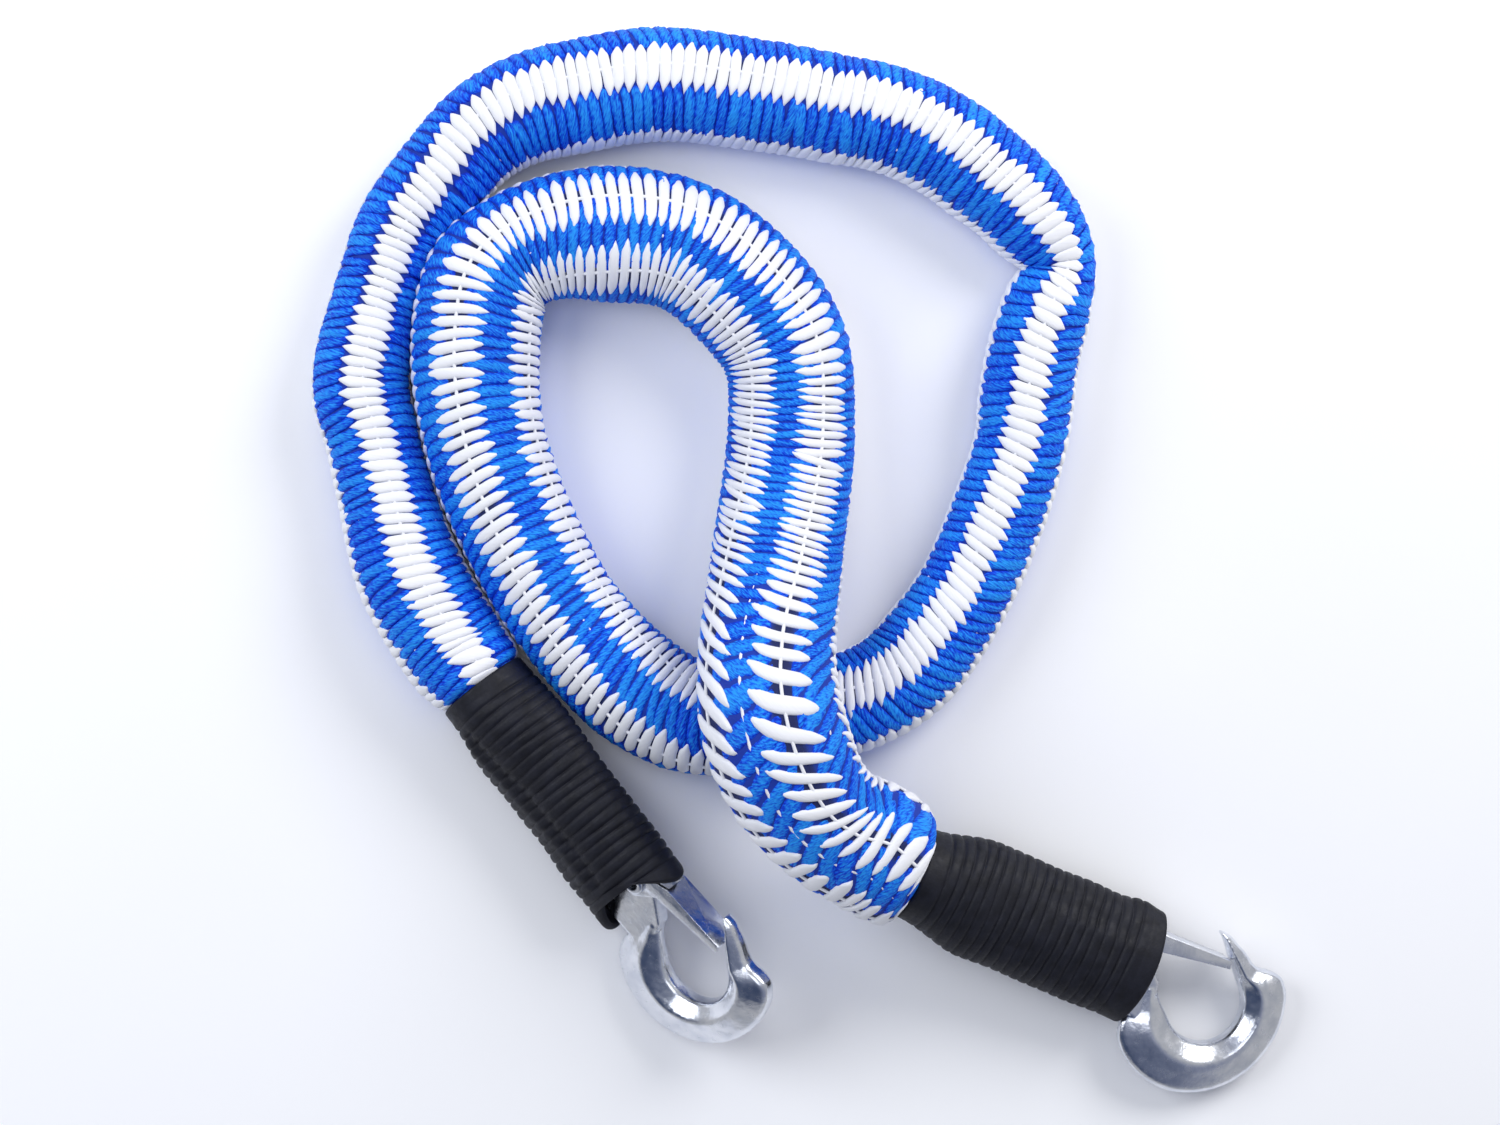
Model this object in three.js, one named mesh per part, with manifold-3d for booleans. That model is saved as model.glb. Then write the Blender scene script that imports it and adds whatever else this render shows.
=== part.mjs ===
// Elastic tow rope: a braided sheath over rubber strands, lying in a loose loop that crosses itself,
// with a sleeved snap hook at each end. Millimetres, +Z up. The rope lies on the plane z = 0.
import * as THREE from "three";
import { mergeVertices } from "three/addons/utils/BufferGeometryUtils.js";
import Module from "manifold-3d";

const wasm = await Module();
wasm.setup();

// Clearances
const GAP = 0.3; // between pieces that touch
const PIN_PLAY = 0.25; // round the latch pin, on the radius
const WINDING_PLAY = 0.7; // between a wound cord's faceted turns and what they hold
const BEYOND = 2; // how far a cutting shape runs past what it cuts

// Rope. Each point of its route: x, y, diameter there, and lift above where it would lie.
// The route and the rope ends are drawn to any scale, and LOOP_WIDTH sets their size
const LOOP_WIDTH = 237; // between the middles of the loop's left and right strands
const ROUTE = [
  [-100, -30, 36.5, 0],
  [-115.5, -4, 36.5, 0],
  [-124, 23, 32.5, 0],
  [-130.5, 52, 30.5, 0],
  [-131, 81, 29.5, 0],
  [-125.5, 103.5, 30, 0],
  [-116.5, 121, 31, 0],
  [-96, 140, 33.5, 0],
  [-67.5, 157, 37.5, 0],
  [-34, 163.5, 38, 0],
  [0, 160, 37, 0],
  [39, 151.5, 36, 0],
  [76.5, 132.5, 35, 0],
  [98.5, 114.5, 32, 0],
  [106, 100.5, 26.5, 0],
  [101, 85.5, 30.5, 0],
  [95.5, 53.5, 33, 0],
  [85, 18, 35, 0],
  [65.5, -21, 35, 0],
  [46, -42, 34, 0],
  [5, -54, 34.5, 0],
  [-20.5, -52, 38.5, 0],
  [-40, -41.5, 40, 0],
  [-61.5, -18.5, 38, 0],
  [-76, 6, 39.5, 0],
  [-89.5, 40, 41, 0],
  [-93, 72, 41.5, 0],
  [-88.5, 96, 41.5, 0],
  [-77.5, 106.5, 40, 0],
  [-51, 112, 44.5, 0],
  [-23, 108.5, 42.5, 0],
  [-3, 94.5, 43, 0],
  [11.5, 74.5, 42.5, 0],
  [14, 45, 43, 0],
  [9, 1, 44, 13],
  [5.5, -32, 45, 33],
  [7, -50, 47, 39],
  [14.5, -68.5, 47, 36],
  [28, -85.5, 44.5, 28],
  [41, -95, 43, 21],
];
const REST_CUT = 0.1; // share of the diameter that the rope's weight presses flat
const ROPE_STEPS = 72;
const SHEATH_SIDES = 12;
const BORE_SIDES = 6;
const ROPE_INSERT = 14; // length of each rope end inside its sleeve
const NECK_RUN = 6; // length over which the rope swells as it leaves a sleeve
const NECK_SWELL = 0.94; // share of its full diameter that it has there
const STRAIGHT_STATIONS = 5; // stations of the rope's mesh spent on its two straight ends
const CORE_STRANDS = 5;
const STRAND_DIAMETER = 5.4;
const STRAND_SIDES = 5;
const STRAND_TRIM = 2; // how far the strands stop short of the sheath's ends
const GAP_SAMPLES = 700; // points along the rope for measuring its gap to itself
const NEAR_DIAMETERS = 2; // stretches closer along the rope than this aren't compared

// Sizes that differ by end
const LEFT_SLEEVE_LENGTH = 93;
const RIGHT_SLEEVE_LENGTH = 87;
const LEFT_NECK = 26.5; // diameter of the rope where the sleeve grips it
const RIGHT_NECK = 27;
const LEFT_EYE_DEPTH = 22; // of the hook's eye behind the sleeve's mouth
const RIGHT_EYE_DEPTH = 22.7;
const LEFT_ARCH = 7; // how far the sleeve's rim is drawn back over the hook's flat sides
const RIGHT_ARCH = -1.5;

// Rope ends: where the rope enters the sleeve, heading, droop and roll in degrees, and how the hook sits
const ENDS = [
  {
    side: "left",
    entry: [-90.9, -41.4, 16.1],
    heading: -52.5,
    droop: -3.7,
    roll: 40,
    sleeveLength: LEFT_SLEEVE_LENGTH,
    ropeNeck: LEFT_NECK,
    eyeDepth: LEFT_EYE_DEPTH,
    hookTurn: 5.5,
    mouthArch: LEFT_ARCH,
  },
  {
    side: "right",
    entry: [54.1, -103.1, 32],
    heading: -23.6,
    droop: 10.6,
    roll: 4,
    sleeveLength: RIGHT_SLEEVE_LENGTH,
    ropeNeck: RIGHT_NECK,
    eyeDepth: RIGHT_EYE_DEPTH,
    hookTurn: 0,
    mouthArch: RIGHT_ARCH,
  },
];

// Sleeve
const SLEEVE_WALL = 1.3;
const SLEEVE_SIDES = 16;
const RIB_PITCH = 3.7;
const RIB_DEPTH = 0.6;
const RIB_VALLEY = 0.3; // share of the pitch at which a rib's valley lies
const RIBS_PER_BORE_STEP = 5;
const ROPE_BAND = 8; // smooth band at the rope end
const MOUTH_BAND = 9; // smooth band at the mouth
const MOUTH_FLARE = 2.9; // how much wider the mouth is than the eye needs, on each side
const EYE_SWELL = 26; // length over which the sleeve widens from the rope to the eye

// Braid loop: the flattened tail through the hook's eye
const TAIL_THICKNESS = 4.6;
const TAIL_WIDTH = 18;
const TAIL_WIDTH_IN_EYE = 8.8;
const TAIL_TAPER = 16; // length over which the tail narrows to the eye
const TAIL_SIDES = 8;
const TURN_STEPS = 8;

// Whipping
const WHIP_DIAMETER = 1.8;
const WHIP_STEPS = 12; // to a turn
const WHIP_SIDES = 5;
const WHIP_MARGIN = 4.5; // from the rope's end to the first turn, and from the eye to the last

// Hook, from the eye's centre: x along the shank, y towards the tip, z through its thickness
const EYE_RADIUS = 12;
const EYE_TUBE = 3;
const SHANK_THICKNESS = 5.8;
const SHANK_BEVEL = 0.8;
const BOWL_X = 47;
const BOWL_Y = -5;
const BOWL_INNER = 12.7;
const BOWL_OUTER = 30;
const BOWL_THICKNESS = 12.6;
const RIDGE_AT = 0.34; // share of the section's width from the inner edge to the ridge
const RIDGE_WIDTH = 0.1; // share of the section's width that the ridge covers
const INNER_EDGE = 0.42; // edge thicknesses as shares of the ridge's
const OUTER_EDGE = 0.45;
const HOOK_STEP = 9; // degrees between sections
const HOOK_START = 180;
// Angle round the bowl, and shares of BOWL_INNER, BOWL_OUTER and BOWL_THICKNESS there
const HOOK_SECTIONS = [
  [180, 1.22, 0.767, 0.52],
  [192, 1.063, 0.8, 0.54],
  [205, 0.929, 0.833, 0.6],
  [212, 0.89, 0.9, 0.68],
  [218, 0.866, 0.947, 0.74],
  [224, 0.858, 0.98, 0.8],
  [232, 0.858, 0.997, 0.87],
  [250, 0.858, 1.01, 0.97],
  [275, 0.89, 1.007, 1],
  [302, 0.961, 0.977, 1],
  [326, 1.047, 0.96, 1],
  [351, 1.118, 0.967, 1],
  [373, 1.181, 1, 1],
  [392, 1.22, 1.04, 1],
  [403, 1.236, 1.027, 0.97],
  [409, 1.244, 0.94, 0.92],
  [416, 1.26, 0.82, 0.86],
  [424, 1.315, 0.8, 0.82],
  [433, 1.409, 0.827, 0.76],
  [443, 1.583, 0.857, 0.68],
  [450, 1.803, 0.907, 0.58],
  [458, 2.118, 0.923, 0.4],
];
const SHANK_BACK = 16; // how far the shank's back edge lies from the eye's axis
const BOSS_RADIUS = 6;
const EYE_JOIN = 70; // degrees from the hook's axis at which the shank leaves the eye
const SHANK_TURN = 80; // the same on the shank's back
const JOIN_STEP = 2; // degrees by which the shank overlaps the eye's round
const BOSS_START = 20; // degrees round the boss over which it stands proud of the shank
const BOSS_END = 100;
const SHANK_SEGMENTS = 10;
const EYE_TUBE_SIDES = 8;
const EYE_SIDES = 28;

// Latch, pin and spring
const PIVOT_X = 14.3;
const PIVOT_Y = 5;
const LATCH_SHEET = 1.2;
const LATCH_EAR = 5;
const LATCH_SHOULDER_X = 11.3;
const LATCH_SHOULDER_Y = 6.9;
const LATCH_TIP_TOP = 1.9;
const LATCH_DROP = 0.8; // lower edge at the tip, below the line through the pivot
const LATCH_WAIST_X = 9; // where the lower edge leaves the ear
const LATCH_WAIST_Y = 1;
const EAR_START = 80; // degrees round the pivot over which the ear is round
const EAR_END = 300;
const BEAK_SEAT = 443; // angle round the bowl where the latch's tip meets the beak
const PIN_RADIUS = 2.4;
const PIN_BORE = 1.3;
const PIN_HEAD_RADIUS = 3.9;
const PIN_HEAD = 1.3;
const PIN_SIDES = 16;
const SPRING_WIRE = 0.9;
const SPRING_TURNS = 2.25;
const SPRING_STEPS = 8; // to a turn
const SPRING_SIDES = 5;
const SPRING_LEG = 3; // length of its leg under the latch's web
const SEAT_FLOOR = 0.4; // height of the spring pocket's floor above the hook's middle plane

// Sizes that follow from those above
const flangeInside = SHANK_THICKNESS / 2 + SPRING_WIRE + 2 * GAP;
const latchHalf = flangeInside + LATCH_SHEET;
const eyeOuter = EYE_RADIUS + EYE_TUBE;
const strandRing = (STRAND_DIAMETER + GAP) / 2 / Math.sin(Math.PI / CORE_STRANDS);
const bundleRadius = strandRing + STRAND_DIAMETER / 2;
const boreRadius = (bundleRadius + GAP) / Math.cos(Math.PI / BORE_SIDES);
const tailOffset = EYE_TUBE + GAP + TAIL_THICKNESS / 2;
const whipAround = WINDING_PLAY + WHIP_DIAMETER / 2;
const whipOuterZ = tailOffset + TAIL_THICKNESS / 2 + WINDING_PLAY + WHIP_DIAMETER;
const facetLoss = Math.cos(Math.PI / SLEEVE_SIDES); // a faceted round's flats against its corners
const sleeveBoreZ = (whipOuterZ + GAP) / facetLoss;
const sleeveBoreY = (eyeOuter + GAP) / facetLoss + MOUTH_FLARE;
const springRadius = PIN_RADIUS + GAP + SPRING_WIRE / 2;
const pocketRadius = springRadius + SPRING_WIRE / 2 + GAP;
const pivot = new THREE.Vector2(PIVOT_X, PIVOT_Y);

const routeAcross = ROUTE.map(([x]) => x);
const routeScale = LOOP_WIDTH / (Math.max(...routeAcross) - Math.min(...routeAcross));

const radians = THREE.MathUtils.degToRad;
const vec = (x, y, z) => new THREE.Vector3(x, y, z);

// Colours and finishes
function finish(colour, roughness, metalness) {
  return new THREE.MeshStandardMaterial({ color: colour, roughness, metalness });
}
const braidFinish = () => finish(0x2a6fe0, 0.6, 0);
const rubberFinish = () => finish(0xc9b48a, 0.8, 0);
const sleeveFinish = () => finish(0x1b1c20, 0.55, 0);
const zincFinish = () => finish(0xc3c9d2, 0.25, 1);
const springFinish = () => finish(0x9a9da3, 0.35, 1);

// Closed surface through rings of points that run right-handed along the way they go
function loft(rings) {
  const points = rings.flat();
  const count = rings[0].length;
  const last = (rings.length - 1) * count;
  const faces = [];
  for (let i = 0; i + 1 < rings.length; i++) {
    for (let j = 0; j < count; j++) {
      const a = i * count + j;
      const b = i * count + ((j + 1) % count);
      faces.push(a, b, b + count, a, b + count, a + count);
    }
  }
  const middle = (ring) => ring.reduce((sum, p) => sum.add(p), vec(0, 0, 0)).divideScalar(count);
  const startCap = points.push(middle(rings[0])) - 1;
  const endCap = points.push(middle(rings[rings.length - 1])) - 1;
  for (let j = 0; j < count; j++) {
    const next = (j + 1) % count;
    faces.push(startCap, next, j, endCap, last + j, last + next);
  }
  return new THREE.BufferGeometry().setFromPoints(points).setIndex(faces);
}

// Solids for joining and cutting, and back to geometry
function solid(geometry, matrix = new THREE.Matrix4()) {
  const bare = geometry.clone().applyMatrix4(matrix);
  bare.deleteAttribute("normal");
  bare.deleteAttribute("uv");
  const merged = mergeVertices(bare, 1e-4);
  const triVerts = new Uint32Array(merged.index.array);
  const vertProperties = merged.attributes.position.array;
  return new wasm.Manifold(new wasm.Mesh({ numProp: 3, vertProperties, triVerts }));
}
function geometryOf(manifold) {
  const mesh = manifold.getMesh();
  const position = new THREE.BufferAttribute(mesh.vertProperties, 3);
  const index = new THREE.BufferAttribute(mesh.triVerts, 1);
  return new THREE.BufferGeometry().setAttribute("position", position).setIndex(index);
}
function move(x, y, z) {
  return new THREE.Matrix4().makeTranslation(x, y, z);
}
function cylinderAlongZ(radius, low, high, sides) {
  const upright = new THREE.CylinderGeometry(radius, radius, high - low, sides);
  return upright.rotateX(Math.PI / 2).translate(0, 0, (low + high) / 2);
}
function plate(shape, low, high) {
  const flat = new THREE.ExtrudeGeometry(shape, { depth: high - low, bevelEnabled: false });
  return flat.translate(0, 0, low);
}

function named(name, geometry, material) {
  const mesh = new THREE.Mesh(geometry, material);
  mesh.name = name;
  return mesh;
}

// Round section of a wire or cord at a point, square to the way it runs
function wireRing(centre, along, up, radius, sides) {
  const b = up.clone().addScaledVector(along, -up.dot(along)).normalize();
  const a = b.clone().cross(along);
  return Array.from({ length: sides }, (_, j) => {
    const turn = (2 * Math.PI * j) / sides;
    return centre
      .clone()
      .addScaledVector(a, radius * Math.cos(turn))
      .addScaledVector(b, radius * Math.sin(turn));
  });
}
function wire(path, up, radius, sides) {
  const rings = path.map((p, i) => {
    const before = path[Math.max(i - 1, 0)];
    const after = path[Math.min(i + 1, path.length - 1)];
    const along = after.clone().sub(before).normalize();
    return wireRing(p, along, up(p), radius, sides);
  });
  return loft(rings);
}

// Place of a rope end's own frame: x out of the sleeve's mouth, y towards the hook's tip
function endFrame(end) {
  const turn = new THREE.Euler(radians(end.roll), radians(end.droop), radians(end.heading), "ZYX");
  const group = new THREE.Group();
  const out = vec(end.sleeveLength, 0, 0).applyEuler(turn);
  group.position.set(...end.entry).multiplyScalar(routeScale).add(out);
  group.rotation.copy(turn);
  group.updateMatrix();
  return group;
}

// The rope's middle line from inside one sleeve to inside the other, and its diameter along it
const frames = ENDS.map(endFrame);
const inEnd = (i, x) => vec(x, 0, 0).applyMatrix4(frames[i].matrix);
const ropeStart = ENDS.map((end, i) => inEnd(i, ROPE_INSERT - end.sleeveLength));
const ropeEdge = ENDS.map((end, i) => inEnd(i, -end.sleeveLength));
const ropeOut = ENDS.map((end, i) => inEnd(i, -end.sleeveLength - NECK_RUN));
const route = ROUTE.map((row) => row.map((size) => size * routeScale));
const lying = route.map(([x, y, d, lift]) => vec(x, y, d * (1 / 2 - REST_CUT) + lift));
const leftLead = [ropeStart[0], ropeEdge[0], ropeOut[0]];
const rightLead = [ropeOut[1], ropeEdge[1], ropeStart[1]];
const ropePoints = [...leftLead, ...lying, ...rightLead];
const neck = ENDS.map((end) => end.ropeNeck);
const routeSizes = route.map((row) => row[2]);
const swollen = [routeSizes[0], routeSizes[routeSizes.length - 1]].map((d) => d * NECK_SWELL);
const ropeSizes = [neck[0], neck[0], swollen[0], ...routeSizes, swollen[1], neck[1], neck[1]];
const ropeLine = new THREE.CatmullRomCurve3(ropePoints, false, "centripetal");
ropeLine.arcLengthDivisions = 2000;
const ropeLength = ropeLine.getLength();

function ropeDiameter(share) {
  const place = ropeLine.getUtoTmapping(share) * (ropePoints.length - 1);
  const i = Math.min(Math.floor(place), ropePoints.length - 2);
  return THREE.MathUtils.lerp(ropeSizes[i], ropeSizes[i + 1], place - i);
}

// Stations along the rope as [share of its length, diameter]: square in each sleeve, then swelling
function ropeStations(trim) {
  const inside = ROPE_INSERT / ropeLength;
  const swell = (ROPE_INSERT + NECK_RUN) / ropeLength;
  const first = swell + NECK_RUN / ropeLength;
  const freeSteps = ROPE_STEPS - STRAIGHT_STATIONS - 1;
  const free = Array.from({ length: freeSteps + 1 }, (_, i) => {
    const share = THREE.MathUtils.lerp(first, 1 - first, i / freeSteps);
    return [share, ropeDiameter(share)];
  });
  return [
    [trim / ropeLength, neck[0]],
    [inside, neck[0]],
    [swell, swollen[0]],
    ...free,
    [1 - swell, swollen[1]],
    [1 - inside, neck[1]],
    [1 - trim / ropeLength, neck[1]],
  ];
}

// A tube that runs beside the rope's middle line, off it by ringOffset at the angle around
function ropeTube(stations, size, sides, ringOffset, around, floor) {
  const rings = stations.map(([share, diameter]) => {
    const along = ropeLine.getTangentAt(share);
    const up = vec(0, 0, 1).addScaledVector(along, -along.z).normalize();
    const level = up.clone().cross(along);
    const centre = ropeLine
      .getPointAt(share)
      .addScaledVector(level, ringOffset * Math.cos(around))
      .addScaledVector(up, ringOffset * Math.sin(around));
    const ring = wireRing(centre, along, up, size(diameter), sides);
    ring.forEach((p) => p.setZ(Math.max(p.z, floor)));
    return ring;
  });
  return loft(rings);
}

function ropeSheath() {
  const outside = ropeTube(ropeStations(0), (d) => d / 2, SHEATH_SIDES, 0, 0, 0);
  const bore = ropeTube(ropeStations(0), () => boreRadius, BORE_SIDES, 0, 0, 0);
  const ends = ENDS.map((end, i) => {
    const square = cylinderAlongZ(boreRadius, -GAP, GAP, BORE_SIDES).rotateY(Math.PI / 2);
    const atStart = move(ROPE_INSERT - end.sleeveLength, 0, 0);
    return solid(square, frames[i].matrix.clone().multiply(atStart));
  });
  return geometryOf(solid(outside).subtract(solid(bore)).subtract(ends[0]).subtract(ends[1]));
}
function coreStrand(k) {
  const around = Math.PI / 2 + (2 * Math.PI * k) / CORE_STRANDS;
  const stations = ropeStations(STRAND_TRIM);
  return ropeTube(stations, () => STRAND_DIAMETER / 2, STRAND_SIDES, strandRing, around, -Infinity);
}

// Least gap between stretches of the rope that aren't neighbours along it
function ropeGap() {
  const samples = Array.from({ length: GAP_SAMPLES + 1 }, (_, i) => {
    const share = i / GAP_SAMPLES;
    return { at: ropeLine.getPointAt(share), radius: ropeDiameter(share) / 2, run: share * ropeLength };
  });
  const least = { gap: Infinity };
  samples.forEach((a, i) =>
    samples.slice(i + 1).forEach((b) => {
      if (b.run - a.run < 2 * NEAR_DIAMETERS * (a.radius + b.radius)) return;
      const gap = a.at.distanceTo(b.at) - a.radius - b.radius;
      if (gap < least.gap) Object.assign(least, { gap, from: a.at, to: b.at });
    }),
  );
  return least;
}

// Sleeve: ribbed outside, drawn in at the rope and widened over the eye, with its rim arched at the mouth
function sleeveRing(x, halfY, halfZ, arch) {
  return Array.from({ length: SLEEVE_SIDES }, (_, j) => {
    const turn = (2 * Math.PI * j) / SLEEVE_SIDES;
    const shift = -arch * Math.sin(turn) ** 2;
    return vec(x + shift, halfY * Math.cos(turn), halfZ * Math.sin(turn));
  });
}
function sleeve(end) {
  const length = end.sleeveLength;
  const neckBore = (end.ropeNeck / 2 + GAP) / facetLoss;
  const bore = (x) => {
    const widening = THREE.MathUtils.smoothstep(x, -length, EYE_SWELL - length);
    const pastRope = x - ROPE_INSERT;
    const flattening = THREE.MathUtils.smoothstep(pastRope, -length, EYE_SWELL - length);
    return [
      THREE.MathUtils.lerp(neckBore, sleeveBoreY, widening),
      THREE.MathUtils.lerp(neckBore, sleeveBoreZ, flattening),
    ];
  };
  const skin = SLEEVE_WALL + RIB_DEPTH;
  const ring = (x, raise, arch) => sleeveRing(x, bore(x)[0] + raise, bore(x)[1] + raise, arch);
  const ribs = Math.floor((length - ROPE_BAND - MOUTH_BAND) / RIB_PITCH);
  const outer = [ring(-length, skin, 0), ring(ROPE_BAND - length, skin, 0)];
  for (let i = 0; i < ribs; i++) {
    const x = ROPE_BAND - length + i * RIB_PITCH;
    outer.push(ring(x + RIB_VALLEY * RIB_PITCH, SLEEVE_WALL, 0), ring(x + RIB_PITCH, skin, 0));
  }
  outer.push(ring(0, skin, end.mouthArch));
  const boreSteps = Math.ceil(ribs / RIBS_PER_BORE_STEP) + 2;
  const inner = Array.from({ length: boreSteps + 1 }, (_, i) => {
    const x = THREE.MathUtils.lerp(-length, 0, i / boreSteps);
    return sleeveRing(x, ...bore(x), 0);
  });
  inner.unshift(sleeveRing(-length - BEYOND, ...bore(-length), 0));
  inner.push(sleeveRing(Math.max(-end.mouthArch, 0) + BEYOND, ...bore(0), 0));
  return geometryOf(solid(loft(outer)).subtract(solid(loft(inner))));
}

// Braid loop: two flat legs joined by a turn round the eye's near side
function braidLoop(end) {
  const back = ROPE_INSERT + GAP - end.sleeveLength;
  const turnAt = -end.eyeDepth - EYE_RADIUS;
  const taperAt = turnAt - TAIL_TAPER;
  const leg = [
    [back, TAIL_WIDTH],
    [taperAt, TAIL_WIDTH],
    [turnAt, TAIL_WIDTH_IN_EYE],
  ];
  const stations = leg.map(([x, width]) => ({ x, z: tailOffset, angle: 0, width }));
  for (let i = 1; i < TURN_STEPS; i++) {
    const angle = (Math.PI * i) / TURN_STEPS;
    const x = turnAt + tailOffset * Math.sin(angle);
    stations.push({ x, z: tailOffset * Math.cos(angle), angle, width: TAIL_WIDTH_IN_EYE });
  }
  leg
    .slice()
    .reverse()
    .forEach(([x, width]) => stations.push({ x, z: -tailOffset, angle: Math.PI, width }));
  const rings = stations.map(({ x, z, angle, width }) =>
    Array.from({ length: TAIL_SIDES }, (_, j) => {
      const turn = (2 * Math.PI * j) / TAIL_SIDES;
      const out = (TAIL_THICKNESS / 2) * Math.sin(turn);
      const across = (width / 2) * Math.cos(turn);
      return vec(x + out * Math.sin(angle), across, z + out * Math.cos(angle));
    }),
  );
  return loft(rings);
}

// Whipping: one cord wound round both legs of the braid loop
function whipping(end) {
  const first = ROPE_INSERT - end.sleeveLength + WHIP_MARGIN;
  const last = -end.eyeDepth - eyeOuter - WHIP_MARGIN;
  const turns = Math.floor((last - first) / RIB_PITCH);
  const path = Array.from({ length: turns * WHIP_STEPS + 1 }, (_, i) => {
    const turn = (2 * Math.PI * (i + 0.5)) / WHIP_STEPS;
    const x = first + (RIB_PITCH * i) / WHIP_STEPS;
    const y = (TAIL_WIDTH / 2 + whipAround) * Math.cos(turn);
    const z = (TAIL_THICKNESS / 2 + whipAround) * Math.sin(turn);
    return vec(x, y, z + tailOffset * Math.sign(z));
  });
  return wire(path, () => vec(1, 0, 0), WHIP_DIAMETER / 2, WHIP_SIDES);
}

// Hook sections, worked out between the listed ones
function hookSection(angle) {
  const i = Math.max(
    HOOK_SECTIONS.findLastIndex((row) => row[0] <= angle),
    0,
  );
  const [a, b] = [HOOK_SECTIONS[i], HOOK_SECTIONS[Math.min(i + 1, HOOK_SECTIONS.length - 1)]];
  const share = b[0] > a[0] ? (angle - a[0]) / (b[0] - a[0]) : 0;
  const between = (k) => THREE.MathUtils.lerp(a[k], b[k], share);
  return {
    inner: BOWL_INNER * between(1),
    outer: BOWL_OUTER * between(2),
    half: (BOWL_THICKNESS / 2) * between(3),
  };
}
function aroundBowl(angle, radius) {
  const turn = radians(angle);
  return vec(BOWL_X + radius * Math.cos(turn), BOWL_Y + radius * Math.sin(turn), 0);
}
function hookBowl() {
  const lastAngle = HOOK_SECTIONS[HOOK_SECTIONS.length - 1][0];
  const steps = Math.ceil((lastAngle - HOOK_START) / HOOK_STEP);
  const rings = Array.from({ length: steps + 1 }, (_, i) => {
    const angle = THREE.MathUtils.lerp(HOOK_START, lastAngle, i / steps);
    const { inner, outer, half } = hookSection(angle);
    const ridge = inner + RIDGE_AT * (outer - inner);
    const ridgeEnd = ridge + RIDGE_WIDTH * (outer - inner);
    const profile = [
      [inner, -INNER_EDGE * half],
      [ridge, -half],
      [ridgeEnd, -half],
      [outer, -OUTER_EDGE * half],
      [outer, OUTER_EDGE * half],
      [ridgeEnd, half],
      [ridge, half],
      [inner, INNER_EDGE * half],
    ];
    return profile.map(([radius, z]) => aroundBowl(angle, radius).setZ(z)).reverse();
  });
  return loft(rings);
}
function hookShank() {
  const rootAngle = HOOK_START + 2 * HOOK_STEP;
  const start = hookSection(rootAngle);
  const root = aroundBowl(rootAngle, (start.inner + start.outer) / 2);
  const throat = aroundBowl(HOOK_START, hookSection(HOOK_START).inner);
  const shape = new THREE.Shape();
  shape.absarc(0, 0, EYE_RADIUS, radians(EYE_JOIN), radians(-SHANK_TURN), true);
  shape.lineTo(eyeOuter * Math.cos(radians(SHANK_TURN - JOIN_STEP)), -eyeOuter);
  shape.lineTo(PIVOT_X, -SHANK_BACK);
  shape.lineTo(root.x - SHANK_BEVEL, -SHANK_BACK);
  shape.lineTo(root.x + SHANK_BEVEL, root.y);
  shape.lineTo(throat.x - SHANK_BEVEL, throat.y);
  shape.lineTo(throat.x - 2 * SHANK_BEVEL, throat.y + BOSS_RADIUS / 2);
  shape.absarc(PIVOT_X, PIVOT_Y, BOSS_RADIUS, radians(BOSS_START), radians(BOSS_END), false);
  const join = radians(EYE_JOIN + JOIN_STEP);
  shape.lineTo(eyeOuter * Math.cos(join), eyeOuter * Math.sin(join));
  shape.closePath();
  const depth = SHANK_THICKNESS - 2 * SHANK_BEVEL;
  const body = new THREE.ExtrudeGeometry(shape, {
    depth,
    curveSegments: SHANK_SEGMENTS,
    bevelThickness: SHANK_BEVEL,
    bevelSize: SHANK_BEVEL,
    bevelOffset: -SHANK_BEVEL,
    bevelSegments: 1,
  });
  return body.translate(0, 0, -depth / 2);
}
function hook() {
  const eye = new THREE.TorusGeometry(EYE_RADIUS, EYE_TUBE, EYE_TUBE_SIDES, EYE_SIDES);
  const atPivot = move(PIVOT_X, PIVOT_Y, 0);
  const pinHole = cylinderAlongZ(PIN_RADIUS + PIN_PLAY, -SHANK_THICKNESS, SHANK_THICKNESS, PIN_SIDES);
  const pocket = cylinderAlongZ(pocketRadius, SEAT_FLOOR, SHANK_THICKNESS, PIN_SIDES);
  return geometryOf(
    solid(eye)
      .add(solid(hookShank()))
      .add(solid(hookBowl()))
      .subtract(solid(pinHole, atPivot))
      .subtract(solid(pocket, atPivot)),
  );
}

// The latch's own frame: origin at the pivot, x towards the tip, turned so that the tip meets the beak
const seatRadius = hookSection(BEAK_SEAT).inner - GAP;
const seat = aroundBowl(BEAK_SEAT, seatRadius);
const reach = Math.hypot(seat.x - pivot.x, seat.y - pivot.y);
const latchLength = Math.sqrt(reach ** 2 - LATCH_TIP_TOP ** 2);
const latchTurn = Math.atan2(seat.y - pivot.y, seat.x - pivot.x) - Math.atan2(LATCH_TIP_TOP, latchLength);

// Height of the web's under side at a place along the latch
const webFall = (LATCH_SHOULDER_Y - LATCH_TIP_TOP) / (latchLength - LATCH_SHOULDER_X);
const webSkin = LATCH_SHEET * Math.hypot(1, webFall);
const webUnder = (x) => LATCH_SHOULDER_Y - webSkin - webFall * (x - LATCH_SHOULDER_X);

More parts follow.
